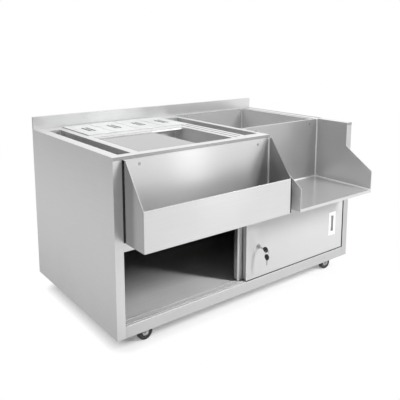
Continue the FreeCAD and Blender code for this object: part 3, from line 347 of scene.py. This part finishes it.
# Ice bin fittings: foam jacket round the liner, slotted false bottom, moulded waste with its hose
# tail, and the flat cover that slides on two ledges under the worktop's rim.
def moulded(name, colour, roughness, grain_size=900.0, relief=0.06):
    """A moulded or foamed plastic: fine skin texture, slow colour change and a soft gloss."""
    darker, uneven = 0.88, 0.06
    finish = bpy.data.materials.new(name)
    finish.use_nodes = True
    tree = finish.node_tree
    shader = tree.nodes["Principled BSDF"]
    place = tree.nodes.new("ShaderNodeTexCoord")
    skin = add_node(tree, "ShaderNodeTexNoise", Scale=grain_size, Detail=3.0)
    slow = add_node(tree, "ShaderNodeTexNoise", Scale=9.0, Detail=2.0)
    shade = tree.nodes.new("ShaderNodeValToRGB")
    shade.color_ramp.elements[0].position = 0.3
    shade.color_ramp.elements[0].color = (*[part * darker for part in colour], 1)
    shade.color_ramp.elements[1].position = 0.7
    shade.color_ramp.elements[1].color = (*colour, 1)
    gloss = add_node(tree, "ShaderNodeMapRange", To_Min=roughness - uneven,
                     To_Max=roughness + uneven)
    bump = add_node(tree, "ShaderNodeBump", Strength=relief, Distance=0.0003)
    for texture in (skin, slow):
        tree.links.new(place.outputs["Object"], texture.inputs["Vector"])
    tree.links.new(slow.outputs["Fac"], shade.inputs["Fac"])
    tree.links.new(shade.outputs["Color"], shader.inputs["Base Color"])
    tree.links.new(skin.outputs["Fac"], gloss.inputs["Value"])
    tree.links.new(gloss.outputs["Result"], shader.inputs["Roughness"])
    tree.links.new(skin.outputs["Fac"], bump.inputs["Height"])
    tree.links.new(bump.outputs["Normal"], shader.inputs["Normal"])
    return finish


cover_steel = steel("cover_sheet", FRONT_TO_BACK, 0.44, 0.16)
made_from("ice_bin_cover", cover_steel)
made_from("ice_bin_false_bottom", bin_steel, radius=0.0003)
made_from("ice_bin_insulation", moulded("jacket_foam", (0.030, 0.030, 0.032), 0.8, 260.0, 0.4),
          "foam_jacket", 0.002)
made_from("ice_bin_drain", moulded("waste_plastic", (0.62, 0.62, 0.60), 0.4), "drain_plastic",
          0.0006)


# Garnish pans: four pressed stainless pans hung over three bars, each with a pale moulded lid.
# The lid's finger recess has a bar across it to pinch.
pan_steel = steel("pressed_pan", LEVEL, 0.74, 0.24)
lid_plastic = moulded("lid_plastic", (0.84, 0.86, 0.855), 0.22, 500.0, 0.02)
# The recess is a darker copy of the lid plastic: painted shade in the hollow.
recess_painted_shade_plastic = moulded("lid_recess_painted_shade", (0.58, 0.60, 0.595), 0.26, 500.0, 0.02)
made_from("pan_bars", top_steel)
for number in range(1, 5):
    made_from(f"garnish_pan_{number}", pan_steel, "pan_steel", 0.0005)
    recess_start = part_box(f"pan_lid_{number}")[1].z - 3.5 * MM
    made_from(f"pan_lid_{number}", lid_plastic, "lid_plastic", 0.0009, 3,
              [(recess_painted_shade_plastic, lambda middle, normal: middle.z < recess_start)])


# Bottle rail: a folded trough with sloped end plates, screwed to the apron. Its free edges are
# rolled over, and the inside corners are welded and ground. Its inner faces are painted lighter
# and its end plates darker, as painted light and shade. A black strip in the gap to the left stile
# and a black bumper between its right end and the shelf are painted shadow in those gaps.
def rolled_edges(name, runs, radius, finish, body="frame", slot="stainless_sheet"):
    """Rolled sheet edges: round beads along each run of points."""
    line = bpy.data.curves.new(name, "CURVE")
    line.dimensions = "3D"
    line.bevel_depth = radius * MM
    line.bevel_resolution = 3
    line.use_fill_caps = True
    for run in runs:
        path = line.splines.new("POLY")
        path.points.add(len(run) - 1)
        for point, place in zip(path.points, run):
            point.co = (*spot(*place), 1)
    holder = bpy.data.objects.new(f"{name}_line", line)
    mesh = bpy.data.meshes.new_from_object(holder)
    bpy.data.objects.remove(holder)
    mesh.materials.clear()
    mesh.materials.append(finish)
    add_piece(name, mesh, body, slot)


rail_steel = steel("bottle_rail_sheet", LEVEL, 0.74, 0.32, 0.06, 0.85, 0.95)
# Lighter and mostly diffuse on the trough's inner faces: painted light.
rail_inside_painted_light = steel("bottle_rail_inside_painted_light", LEVEL, 0.90, 0.34, 0.06, 0.2)
# Darker on the end plates and the right end's rolled edge: painted shade.
rail_end_painted_shade = steel("bottle_rail_end_painted_shade", LEVEL, 0.38, 0.24)
# Darker still on the right end plate's inner face: painted shade.
rail_right_end_inside_shade = steel("bottle_rail_corner", LEVEL, 0.33, 0.24)
# Lighter than the sheets they roll from: partly real rolled edge, partly a painted highlight.
edge_highlight_steel = steel("rolled_edge", SIDE_TO_SIDE, 0.92, 0.26, 0.04, 0.8, 0.0)
# Black rubber for the seals, also used as painted shadow in gaps.
seal_and_gap_shadow_rubber = moulded("seal_and_gap_shadow_rubber", (0.012, 0.012, 0.013), 0.6)
front_wall = spot(0, -138, 0).y
right_plate = spot(790, 0, 0).x
made_from("speed_rail", rail_steel, zones=[
    (rail_inside_painted_light, lambda middle, normal: max(normal.y, normal.z) > SQUARE_ON),
    (front_steel, lambda middle, normal: middle.y < front_wall),
    (rail_end_painted_shade, faces_left_or_right),
    (rail_right_end_inside_shade, lambda middle, normal: normal.x < -SQUARE_ON and middle.x > right_plate)])
# A black strip in the gap beside the left stile: painted shadow.
rolled_edges("rail_stile_gap_shadow", [[(40.3, 0.2, 390), (40.3, 0.2, 711)]], 2.3, seal_and_gap_shadow_rubber,
             slot="wheel_rubber")
# A black bumper at the rail's right end: painted shadow in the gap.
rolled_edges("rail_bumper_gap_shadow", [[(803, -132.5, 391), (803, -132.5, 546)]], 7.0, seal_and_gap_shadow_rubber,
             slot="wheel_rubber")
left, right, front, back, low = 44.5, 795.5, -138.5, -1.5, 390.5
wall_top, back_top = 548, 711
# The ground corners take the near-white weld finish, partly a painted highlight.
coves("bottle_rail_corners", [
    ((right, back, low), (right, back, back_top), (-1, 0, 0), (0, -1, 0)),
    ((left, back, low), (left, back, back_top), (1, 0, 0), (0, -1, 0)),
    ((left, back, low), (right, back, low), (0, -1, 0), (0, 0, 1)),
    ((left, front, low), (right, front, low), (0, 1, 0), (0, 0, 1)),
    ((left, front, low), (left, front, wall_top), (1, 0, 0), (0, 1, 0)),
    ((right, front, low), (right, front, wall_top), (-1, 0, 0), (0, 1, 0))], 6, weld_highlight_steel)
roll = 1.7
plate_top = 711.5 - roll
# The rolled edges take the lighter edge finish, partly a painted highlight.
rolled_edges("bottle_rail_edges", [
    [(44, -18, plate_top), (44, -139.2, 549 - roll), (796, -139.2, 549 - roll)]], roll, edge_highlight_steel)
# The right end's rolled edge takes the darker end finish as painted shade.
rolled_edges("bottle_rail_right_edge", [[(796, -137, 552 - roll), (796, -18, plate_top)]], roll,
             rail_end_painted_shade)


# Drip beads of the worktop: low half-round beads pressed up beside the bins and along the right
# edge, which keep melt water off the floor.
# The beads are a darker copy of the plate: painted shade lines beside the bins.
bead_painted_shade_steel = steel("pressed_bead_painted_shade", FRONT_TO_BACK, 0.50, 0.30, 0.06, 0.8)
bead_level = 724.6
rolled_edges("worktop_beads", [
    [(x, start, bead_level), (x, end, bead_level)]
    for x, start, end in ((640, 40, 466), (672, 57, 698), (1340, 205, 768), (1394, 197, 778))],
    2.4, bead_painted_shade_steel)


# Step-down shelf: floor, back plate and two guards folded and welded together, on two folded feet.
# The inside corners are ground, and the guards' front edges are rolled.
shelf_steel = steel("shelf_sheet", LEVEL, 0.72, 0.24)
# Lighter on the shelf's upward faces: painted light.
shelf_floor = steel("shelf_floor", FRONT_TO_BACK, 0.84, 0.20, 0.06, 0.75)
# Darker on the back plate's front face: painted shade.
shelf_back = steel("shelf_back", LEVEL, 0.52, 0.38)
# Lighter and mostly diffuse on the left guard's outer face: painted light.
left_guard_painted_light = steel("shelf_left_guard", LEVEL, 0.95, 0.30, 0.06, 0.15)
guard_steel = steel("shelf_guard", LEVEL, 0.70, 0.30, 0.06, 0.85)
left_outside = spot(839, 0, 0).x
back_plate = spot(0, 150, 0).y
made_from("step_shelf", shelf_steel, zones=[
    (guard_steel, faces_left_or_right),
    (left_guard_painted_light, lambda middle, normal: normal.x < -SQUARE_ON and middle.x < left_outside),
    (shelf_back, lambda middle, normal: normal.y < -SQUARE_ON and middle.y > back_plate),
    (shelf_floor, facing(0, 0, 1))])
left, right, front, back, low = 839.5, 1356.5, -163, 193.5, 406
# The ground corners take the near-white weld finish, partly a painted highlight.
coves("shelf_corners", [
    ((right, back, low), (right, back, 724), (-1, 0, 0), (0, -1, 0)),
    ((left, back, low), (left, back, 606), (1, 0, 0), (0, -1, 0)),
    ((left, back, low), (right, back, low), (0, -1, 0), (0, 0, 1)),
    ((right, front, low), (right, back, low), (-1, 0, 0), (0, 0, 1)),
    ((left, front, low), (left, back, low), (1, 0, 0), (0, 0, 1))], 5, weld_highlight_steel)
guard_front, guard_low, slope_low, slope_top = -163.3, 396, 500, 605.5
# The rolled edges take the lighter edge finish, partly a painted highlight.
rolled_edges("shelf_guard_edges", [
    [(838.8, guard_front, guard_low), (838.8, guard_front, slope_low), (838.8, -4, slope_top),
     (838.8, 190, slope_top)],
    [(1357.2, guard_front, guard_low), (1357.2, guard_front, slope_low),
     (1357.2, -4, slope_top)]], roll, edge_highlight_steel)


# Screws of the bottle rail and shelf: domed stainless heads with a cross recess, all turned a
# little differently by hand.
def fastener_tree(name, profile, cross, finish):
    """Heads on points: stacked rings of one profile, with a cross recess where there is one."""
    tree = bpy.data.node_groups.new(name, "GeometryNodeTree")
    add_sockets(tree, "INPUT", (("Points", "Geometry"), ("Head Size", "Vector")))
    add_sockets(tree, "OUTPUT", (("Heads", "Geometry"),))
    given = tree.nodes.new("NodeGroupInput")
    result = tree.nodes.new("NodeGroupOutput")
    head = tree.nodes.new("GeometryNodeJoinGeometry")
    for low, high, wide, narrow, count in profile:
        ring = add_node(tree, "GeometryNodeMeshCone", Vertices=count, Radius_Bottom=wide,
                        Radius_Top=narrow, Depth=high - low)
        raised = add_node(tree, "GeometryNodeTransform", Translation=(0, 0, low))
        tree.links.new(ring.outputs["Mesh"], raised.inputs["Geometry"])
        tree.links.new(raised.outputs["Geometry"], head.inputs["Geometry"])
    shape = head.outputs["Geometry"]
    if cross:
        recess = tree.nodes.new("GeometryNodeMeshBoolean")
        recess.operation = "DIFFERENCE"
        tree.links.new(shape, recess.inputs["Mesh 1"])
        for size in ((1.05, 0.2, 0.9), (0.2, 1.05, 0.9)):
            bar = add_node(tree, "GeometryNodeMeshCube", Size=size)
            lifted = add_node(tree, "GeometryNodeTransform", Translation=(0, 0, 1.0))
            tree.links.new(bar.outputs["Mesh"], lifted.inputs["Geometry"])
            tree.links.new(lifted.outputs["Geometry"], recess.inputs["Mesh 2"])
        shape = recess.outputs["Mesh"]
    turn = add_node(tree, "GeometryNodeInputNamedAttribute", data_type="FLOAT_VECTOR",
                    Name="turn")
    placed = tree.nodes.new("GeometryNodeInstanceOnPoints")
    tree.links.new(given.outputs["Points"], placed.inputs["Points"])
    tree.links.new(shape, placed.inputs["Instance"])
    tree.links.new(turn.outputs["Attribute"], placed.inputs["Rotation"])
    tree.links.new(given.outputs["Head Size"], placed.inputs["Scale"])
    real = tree.nodes.new("GeometryNodeRealizeInstances")
    tree.links.new(placed.outputs["Instances"], real.inputs["Geometry"])
    dressed = add_node(tree, "GeometryNodeSetMaterial", Material=finish)
    tree.links.new(real.outputs["Geometry"], dressed.inputs["Geometry"])
    tree.links.new(dressed.outputs["Geometry"], result.inputs["Heads"])
    return tree


def fasteners(name, tree, size, spots, body, slot, *replaced):
    """Heads of one size at the given spots, each turned as its own spot says."""
    points = bpy.data.meshes.new(f"{name}_points")
    points.from_pydata([place for place, _ in spots], [], [])
    turns = points.attributes.new("turn", "FLOAT_VECTOR", "POINT")
    for entry, (_, turn) in zip(turns.data, spots):
        entry.vector = turn
    holder = bpy.data.objects.new(f"{name}_holder", points)
    bpy.context.scene.collection.objects.link(holder)
    maker = holder.modifiers.new("heads", "NODES")
    maker.node_group = tree
    size_socket = next(item for item in tree.interface.items_tree if item.name == "Head Size")
    maker[size_socket.identifier] = size
    graph = bpy.context.evaluated_depsgraph_get()
    mesh = bpy.data.meshes.new_from_object(holder.evaluated_get(graph), depsgraph=graph)
    bpy.data.objects.remove(holder)
    mesh.name = name
    add_piece(name, mesh, body, slot, *replaced)


screw_steel = steel("screw_steel", UPRIGHT, 0.42, 0.20, 0.05, 0.9, 0.0)
PAN_HEAD = ((0.0, 0.35, 1.0, 1.0, 28), (0.35, 0.75, 1.0, 0.82, 28), (0.75, 1.0, 0.82, 0.42, 28))
screw_tree = fastener_tree("cross_screw", PAN_HEAD, True, screw_steel)
FACING_FRONT = math.radians(90)
screw_spots = [(spot(113, -1.5, 687.5), (FACING_FRONT, 0.3, 0)),
               (spot(727, -1.5, 687.5), (FACING_FRONT, 0.9, 0)),
               (spot(898, 193.5, 701), (FACING_FRONT, 0.1, 0)),
               (spot(1298, 193.5, 701), (FACING_FRONT, 0.6, 0))]
fasteners("front_screws", screw_tree, (0.006, 0.006, 0.003), screw_spots, "frame",
          "stainless_sheet", "rail_and_shelf_screws")


# Sliding doors: hollow leaves of folded skin and flat back, on nylon glides, each with a pressed
# flush pull let into its skin. Black rubber strips beside and under the outer leaf and between the
# leaves are partly seals, partly painted shadow in the gaps, and the leaves' meeting edges and
# the bottom rail's top edge are hemmed.
door_steel = steel("door_sheet", LEVEL, 0.56, 0.36, 0.06, 0.35)
# The leaves' side edges have their own darker finish: painted shade.
door_edge_painted_shade_steel = steel("door_edge_painted_shade", UPRIGHT, 0.52, 0.30)
pull_steel = steel("pull_frame", UPRIGHT, 0.95, 0.40, 0.03, 0.5, 0.0)
# The pull's cup is a darker copy of its frame: painted shade in the hollow.
cup_painted_shade_steel = steel("pull_cup_painted_shade", UPRIGHT, 0.62, 0.40, 0.06, 0.3, 0.0)
glide_nylon = moulded("glide_nylon", (0.78, 0.77, 0.72), 0.45)
for leaf in ("outer", "inner"):
    made_from(f"{leaf}_door_skin", door_steel, radius=0.0007,
              zones=[(door_edge_painted_shade_steel, faces_left_or_right)])
    # The leaf's back is near black as painted shade.
    made_from(f"{leaf}_door_back", painted_shade_inside)
    # Faces deeper than the frame take the darker cup finish as painted shade.
    cup_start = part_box(f"{leaf}_door_pull")[0].y + 2 * MM
    made_from(f"{leaf}_door_pull", pull_steel, "pull_steel", 0.0009, 3,
              [(cup_painted_shade_steel, lambda middle, normal: middle.y > cup_start)])
    made_from(f"{leaf}_door_glides", glide_nylon, "glide_nylon", 0.0006)


def upright_line(x, y):
    """A straight run from the leaves' bottom to their top."""
    leaf_bottom, leaf_top = 53, 351
    return [[(x, y, leaf_bottom), (x, y, leaf_top)]]


# Black strips beside, under and between the leaves: partly seals, partly painted shadow.
rolled_edges("door_stop_seal_and_shadow", upright_line(1360.2, 0.6), 2.9, seal_and_gap_shadow_rubber, slot="wheel_rubber")
rolled_edges("outer_door_sweep_and_shadow", [[(671, 0.6, 52.7), (1356, 0.6, 52.7)]], 2.2, seal_and_gap_shadow_rubber,
             "outer_door", "wheel_rubber")
rolled_edges("outer_door_meeting_seal_and_shadow", upright_line(671.6, 25.4), 3.0, seal_and_gap_shadow_rubber,
             "outer_door", "wheel_rubber")
# The hems take the lighter edge finish, partly a painted highlight line.
rolled_edges("outer_door_hem", upright_line(670.2, 1.6), 1.3, edge_highlight_steel, "outer_door")
rolled_edges("inner_door_hem", upright_line(641.2, 30.6), 1.3, edge_highlight_steel, "inner_door")
rolled_edges("bottom_rail_hem", [[(41, 0.6, 48.3), (1359, 0.6, 48.3)]], 1.6, edge_highlight_steel)


# Lock and keys: a plated barrel in the outer door with its plug and cam, the key that stands in
# it, and a spare on a wire ring through the first key's bow. Bows are black mouldings on plated
# blades.
BOW_SIDE = [(0.8, 4.6), (3, 8.6), (6.5, 11.6), (11, 13), (16, 13), (20, 12), (23.5, 9.5),
            (26, 6.5), (28, 5)]
BOW = [(0, 0)] + BOW_SIDE + [(along, -across) for along, across in reversed(BOW_SIDE)]
HOLE_PLACE, HOLE_RADIUS = 5, 1.9
BOW_HOLE = [(HOLE_PLACE + HOLE_RADIUS * math.cos(step * math.pi / 8),
             HOLE_RADIUS * math.sin(step * math.pi / 8)) for step in range(16)]
LOCK_BLADE = [(27, 4), (27, -4), (73, -4), (73, 4)]
SPARE_BLADE = [(27, -4), (27, 4), (38, 4), (39.5, 2.4), (41, 4), (43, 4), (44.5, 1.8), (46, 3.4),
               (48, 3.4), (49.5, 2), (51, 3.2), (54, 1), (54, -1.5), (52, -4)]
lock_plate = steel("lock_plate", UPRIGHT, 0.42, 0.14, 0.05, 1.0, 0.0)
key_plate = steel("key_plate", FRONT_TO_BACK, 0.62, 0.22, 0.06, 1.0, 0.0)
bow_plastic = moulded("bow_plastic", (0.014, 0.014, 0.015), 0.35)
made_from("lock_barrel", lock_plate, "lock_chrome", 0.0007, 3)
made_from("lock_plug", lock_plate, "lock_chrome", 0.0003)
made_from("lock_cam", lock_plate, "lock_chrome", 0.0004)
frame["nodes"]["key_ring"].material_slots[0].material = lock_plate
LOCK_X, LOCK_Z = 744, 203
BOW_FRONT = -60
SPARE_Y, SPARE_TOP = -55, 184


def along_key(along, across):
    """A point on the key in the lock, from its bow's end inwards."""
    return spot(LOCK_X, BOW_FRONT + along, LOCK_Z + across)


def along_spare(along, across):
    """A point on the spare key, from its bow's end downwards."""
    return spot(LOCK_X, SPARE_Y + across, SPARE_TOP - along)


BOW_THICK, BLADE_THICK = 5, 2.2
flat_part("key_bow", [BOW, BOW_HOLE], BOW_THICK, along_key, "lock_cylinder", "key_plastic",
          bow_plastic, 0.0009, "key")
flat_part("key_blade", [LOCK_BLADE], BLADE_THICK, along_key, "lock_cylinder", "lock_chrome",
          key_plate, 0.0003)
flat_part("spare_bow", [BOW, BOW_HOLE], BOW_THICK, along_spare, "spare_keys", "key_plastic",
          bow_plastic, 0.0009, "spare_key")
flat_part("spare_blade", [SPARE_BLADE], BLADE_THICK, along_spare, "spare_keys", "lock_chrome",
          key_plate, 0.0003)


# Running gear: two cross channels, caster plates bolted to them, swivel forks pressed from zinc
# plated steel, and wheels moulded as a pale hub in a dark rim, with a black tyre.
zinc = steel("zinc_plate", UPRIGHT, 0.50, 0.32, 0.12, 0.9, 0.0)
fork_steel = steel("fork_plate", UPRIGHT, 0.45, 0.36, 0.12, 0.9, 0.0)
tyre_rubber = moulded("tyre_rubber", (0.022, 0.022, 0.024), 0.55, 1400.0, 0.12)
rim_plastic = moulded("wheel_rim", (0.035, 0.035, 0.037), 0.42)
hub_plastic = moulded("wheel_hub", (0.82, 0.82, 0.80), 0.42)


def turned(name, profile, centre, body, slot, finish, *replaced):
    """A lathe shape about the axle, from a closed profile of radius and place across, in mm."""
    steps = 56
    work = bmesh.new()
    rings = []
    for step in range(steps):
        turn = 2 * math.pi * step / steps
        rings.append([work.verts.new(centre + Vector((math.cos(turn) * radius, across,
                                                      math.sin(turn) * radius)) * MM)
                      for radius, across in profile])
    count = len(profile)
    for step in range(steps):
        near, far = rings[step], rings[(step + 1) % steps]
        for index in range(count):
            after = (index + 1) % count
            work.faces.new((near[index], near[after], far[after], far[index]))
    solid_piece(work, name, finish, body, slot, *replaced, crease=32)


TYRE = ((24, -11), (29, -12), (31.5, -11.6), (33, -10.2), (33.8, -8), (34, -5), (34, 5),
        (33.8, 8), (33, 10.2), (31.5, 11.6), (29, 12), (24, 11))
RIM = ((15.5, -9), (21.5, -9), (23, -10), (24, -11), (24, 11), (23, 10), (21.5, 9), (15.5, 9))
HUB = ((4.1, -13), (10, -13), (12.6, -12), (14.4, -10.6), (15.5, -9), (15.5, 9), (14.4, 10.6),
       (12.6, 12), (10, 13), (4.1, 13))
HEX_HEAD = ((0.0, 0.2, 1.0, 1.0, 28), (0.2, 0.85, 0.86, 0.86, 6), (0.85, 1.0, 0.86, 0.68, 6))
bolt_tree = fastener_tree("hex_bolt", HEX_HEAD, False, zinc)
made_from("base_channels", front_steel)
made_from("caster_plates", zinc, "zinc_steel", 0.0006)
bolt_spots = []
trail, bolt_pitch, plate_low, plate_high, head_high = 30, 22, 89, 93.5, 4 * MM
for number in range(1, 5):
    low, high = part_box(f"caster_wheel_{number}")
    middle = (low + high) / 2
    fork, wheel = f"caster_fork_{number}", f"caster_wheel_{number}"
    made_from(fork, fork_steel, "zinc_steel", 0.0009, 3)
    turned(f"tyre_{number}", TYRE, middle, wheel, "wheel_rubber", tyre_rubber, wheel)
    turned(f"wheel_rim_{number}", RIM, middle, wheel, "wheel_rubber", rim_plastic)
    turned(f"wheel_hub_{number}", HUB, middle, wheel, "wheel_rubber", hub_plastic)
    axle_low, axle_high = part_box(f"caster_axle_{number}")
    ends = [(Vector((middle.x, axle_low.y + head_high, middle.z)), (FACING_FRONT, 0.2, 0)),
            (Vector((middle.x, axle_high.y - head_high, middle.z)), (-FACING_FRONT, 0.5, 0))]
    fasteners(f"axle_heads_{number}", bolt_tree, (0.007, 0.007, head_high), ends, fork,
              "zinc_steel", f"caster_axle_{number}")
    swivel = Vector((middle.x - trail * MM, middle.y, 0))
    for x in (-bolt_pitch, bolt_pitch):
        for y in (-bolt_pitch, bolt_pitch):
            bolt_spots.append((swivel + Vector((x, y, plate_low)) * MM,
                               (math.pi, 0, 0.4 * number)))
            bolt_spots.append((swivel + Vector((x, y, plate_high)) * MM, (0, 0, 0.3 * number)))
fasteners("caster_bolt_heads", bolt_tree, (0.005, 0.005, head_high), bolt_spots, "frame",
          "zinc_steel", "caster_bolts")


# Studio floor: a wide pale sheet that keeps the shadow under the cabinet. It shines white to the
# camera and in the metal, but in the metal its left part is darker, with a band of shade beside
# the left panel.
def background_rays(tree):
    """Two values: 1 for camera rays, and 1 for those and rays off gloss or through glass."""
    path_kind = tree.nodes.new("ShaderNodeLightPath")
    glossy = add_node(tree, "ShaderNodeMath", operation="MAXIMUM")
    tree.links.new(path_kind.outputs["Is Camera Ray"], glossy.inputs[0])
    tree.links.new(path_kind.outputs["Is Glossy Ray"], glossy.inputs[1])
    shown = add_node(tree, "ShaderNodeMath", operation="MAXIMUM")
    tree.links.new(glossy.outputs[0], shown.inputs[0])
    tree.links.new(path_kind.outputs["Is Transmission Ray"], shown.inputs[1])
    return path_kind.outputs["Is Camera Ray"], shown.outputs[0]


REACH = 30.0
SHADOW_MIDDLE, SHADOW_HALF = (0, 0.0825, 0), (0.61, 0.31, 0)
SHADOW_EDGE, SHADOW_GLOW = 0.09, 0.15
FAR_LEFT, NEAR_LEFT = -3.2, -0.2
FAR_LEFT_LIGHT = 0.5
LEFT_LIGHT = ((0.533, 1.0), (0.70, 0.94), (0.82, 0.68), (0.89, 1.0))
floor_mesh = bpy.data.meshes.new("studio_floor")
floor_mesh.from_pydata([(-REACH, -REACH, 0), (REACH, -REACH, 0), (REACH, REACH, 0),
                        (-REACH, REACH, 0)], [], [(0, 1, 2, 3)])
floor_paint = bpy.data.materials.new("floor_paint")
floor_paint.use_nodes = True
tree = floor_paint.node_tree
paint = tree.nodes["Principled BSDF"]
paint.inputs["Roughness"].default_value = 0.9
paint.inputs["Specular IOR Level"].default_value = 0.0
place = tree.nodes.new("ShaderNodeTexCoord")
centred = add_node(tree, "ShaderNodeVectorMath", operation="SUBTRACT")
centred.inputs[1].default_value = SHADOW_MIDDLE
unsigned = add_node(tree, "ShaderNodeVectorMath", operation="ABSOLUTE")
beyond = add_node(tree, "ShaderNodeVectorMath", operation="SUBTRACT")
beyond.inputs[1].default_value = SHADOW_HALF
outside = add_node(tree, "ShaderNodeVectorMath", operation="MAXIMUM")
distance = add_node(tree, "ShaderNodeVectorMath", operation="LENGTH")
near = add_node(tree, "ShaderNodeMapRange", From_Min=0.0, From_Max=SHADOW_EDGE,
                To_Min=SHADOW_GLOW, To_Max=1.0)
tree.links.new(place.outputs["Object"], centred.inputs[0])
tree.links.new(centred.outputs["Vector"], unsigned.inputs[0])
tree.links.new(unsigned.outputs["Vector"], beyond.inputs[0])
tree.links.new(beyond.outputs["Vector"], outside.inputs[0])
tree.links.new(outside.outputs["Vector"], distance.inputs[0])
tree.links.new(distance.outputs["Value"], near.inputs["Value"])
sides = tree.nodes.new("ShaderNodeSeparateXYZ")
across = add_node(tree, "ShaderNodeMapRange", From_Min=FAR_LEFT, From_Max=NEAR_LEFT)
fade = tree.nodes.new("ShaderNodeValToRGB")
stops = fade.color_ramp.elements
stops[0].color, stops[1].color = (*[FAR_LEFT_LIGHT] * 3, 1), (1, 1, 1, 1)
for where, light in LEFT_LIGHT:
    stops.new(where).color = (light, light, light, 1)
tree.links.new(place.outputs["Object"], sides.inputs["Vector"])
tree.links.new(sides.outputs["X"], across.inputs["Value"])
tree.links.new(across.outputs["Result"], fade.inputs["Fac"])
from_camera, shown = background_rays(tree)
pale = add_node(tree, "ShaderNodeMath", operation="MAXIMUM")
tree.links.new(from_camera, pale.inputs[0])
tree.links.new(fade.outputs["Color"], pale.inputs[1])
tree.links.new(pale.outputs[0], paint.inputs["Base Color"])
glow = add_node(tree, "ShaderNodeEmission", Strength=1.0)
tree.links.new(pale.outputs[0], glow.inputs["Color"])
share = add_node(tree, "ShaderNodeMath", operation="MULTIPLY")
tree.links.new(shown, share.inputs[0])
tree.links.new(near.outputs["Result"], share.inputs[1])
both = tree.nodes.new("ShaderNodeMixShader")
tree.links.new(share.outputs[0], both.inputs["Fac"])
tree.links.new(paint.outputs["BSDF"], both.inputs[1])
tree.links.new(glow.outputs["Emission"], both.inputs[2])
tree.links.new(both.outputs["Shader"], tree.nodes["Material Output"].inputs["Surface"])
floor_mesh.materials.append(floor_paint)
studio_floor = bpy.data.objects.new("studio_floor", floor_mesh)
bpy.context.scene.collection.objects.link(studio_floor)


# Studio surround: plain white to the camera, darker on the left in the metal, and much weaker as a
# light, so that the lamps make the shadows.
FILL_LIGHT = 0.12
surround = bpy.data.worlds.new("studio_surround")
surround.use_nodes = True
bpy.context.scene.world = surround
tree = surround.node_tree
way = tree.nodes.new("ShaderNodeTexCoord")
sides = tree.nodes.new("ShaderNodeSeparateXYZ")
tree.links.new(way.outputs["Generated"], sides.inputs["Vector"])
fade = add_node(tree, "ShaderNodeMapRange", From_Min=-0.9, From_Max=0.0, To_Min=FAR_LEFT_LIGHT,
                To_Max=1.0)
tree.links.new(sides.outputs["X"], fade.inputs["Value"])
from_camera, shown = background_rays(tree)
level = add_node(tree, "ShaderNodeMapRange", To_Min=FILL_LIGHT, To_Max=1.0)
tree.links.new(shown, level.inputs["Value"])
dimmed = add_node(tree, "ShaderNodeMath", operation="MULTIPLY")
tree.links.new(fade.outputs["Result"], dimmed.inputs[0])
tree.links.new(level.outputs["Result"], dimmed.inputs[1])
strength = add_node(tree, "ShaderNodeMath", operation="MAXIMUM")
tree.links.new(from_camera, strength.inputs[0])
tree.links.new(dimmed.outputs[0], strength.inputs[1])
tree.links.new(strength.outputs[0], tree.nodes["Background"].inputs["Strength"])
tree.nodes["Background"].inputs["Color"].default_value = (1, 1, 1, 1)


# Lamps and camera: a soft box overhead, one at the front right, and a narrow upright strip, the
# only one that shows in the metal. The camera stands where the photograph was taken.
def add_lamp(name, wide, high, energy, place, target, mirrored=True):
    """A soft box of the given size in metres, aimed at a point; some only fill the shadows."""
    lamp = bpy.data.lights.new(name, "AREA")
    lamp.shape = "RECTANGLE"
    lamp.size, lamp.size_y = wide, high
    lamp.energy = energy
    holder = bpy.data.objects.new(name, lamp)
    holder.location = place
    holder.rotation_euler = (Vector(target) - Vector(place)).to_track_quat("-Z", "Y").to_euler()
    holder.visible_camera = False
    holder.visible_glossy = mirrored
    bpy.context.scene.collection.objects.link(holder)


add_lamp("overhead_lamp", 2.4, 2.0, 50, (-0.1, 0.1, 3.2), (-0.1, 0.1, 0), False)
add_lamp("front_lamp", 0.4, 0.9, 92, (1.35, -2.30, 1.93), (-0.1, -0.2, 0.2), False)
add_lamp("strip_lamp", 0.22, 2.0, 2.1, (1.18, -2.42, 1.02), (-0.35, -0.32, 1.02))

camera = bpy.data.cameras.new("photo_camera")
camera.lens = 47.838
camera.sensor_width = 36
camera.shift_x, camera.shift_y = -0.00185, -0.18
photo_camera = bpy.data.objects.new("photo_camera", camera)
photo_camera.location = (-1.5982, -2.0066, 1.2219)
photo_camera.rotation_euler = (math.radians(90 - 9.3784), 0, math.radians(-37.659))
bpy.context.scene.collection.objects.link(photo_camera)
bpy.context.scene.camera = photo_camera
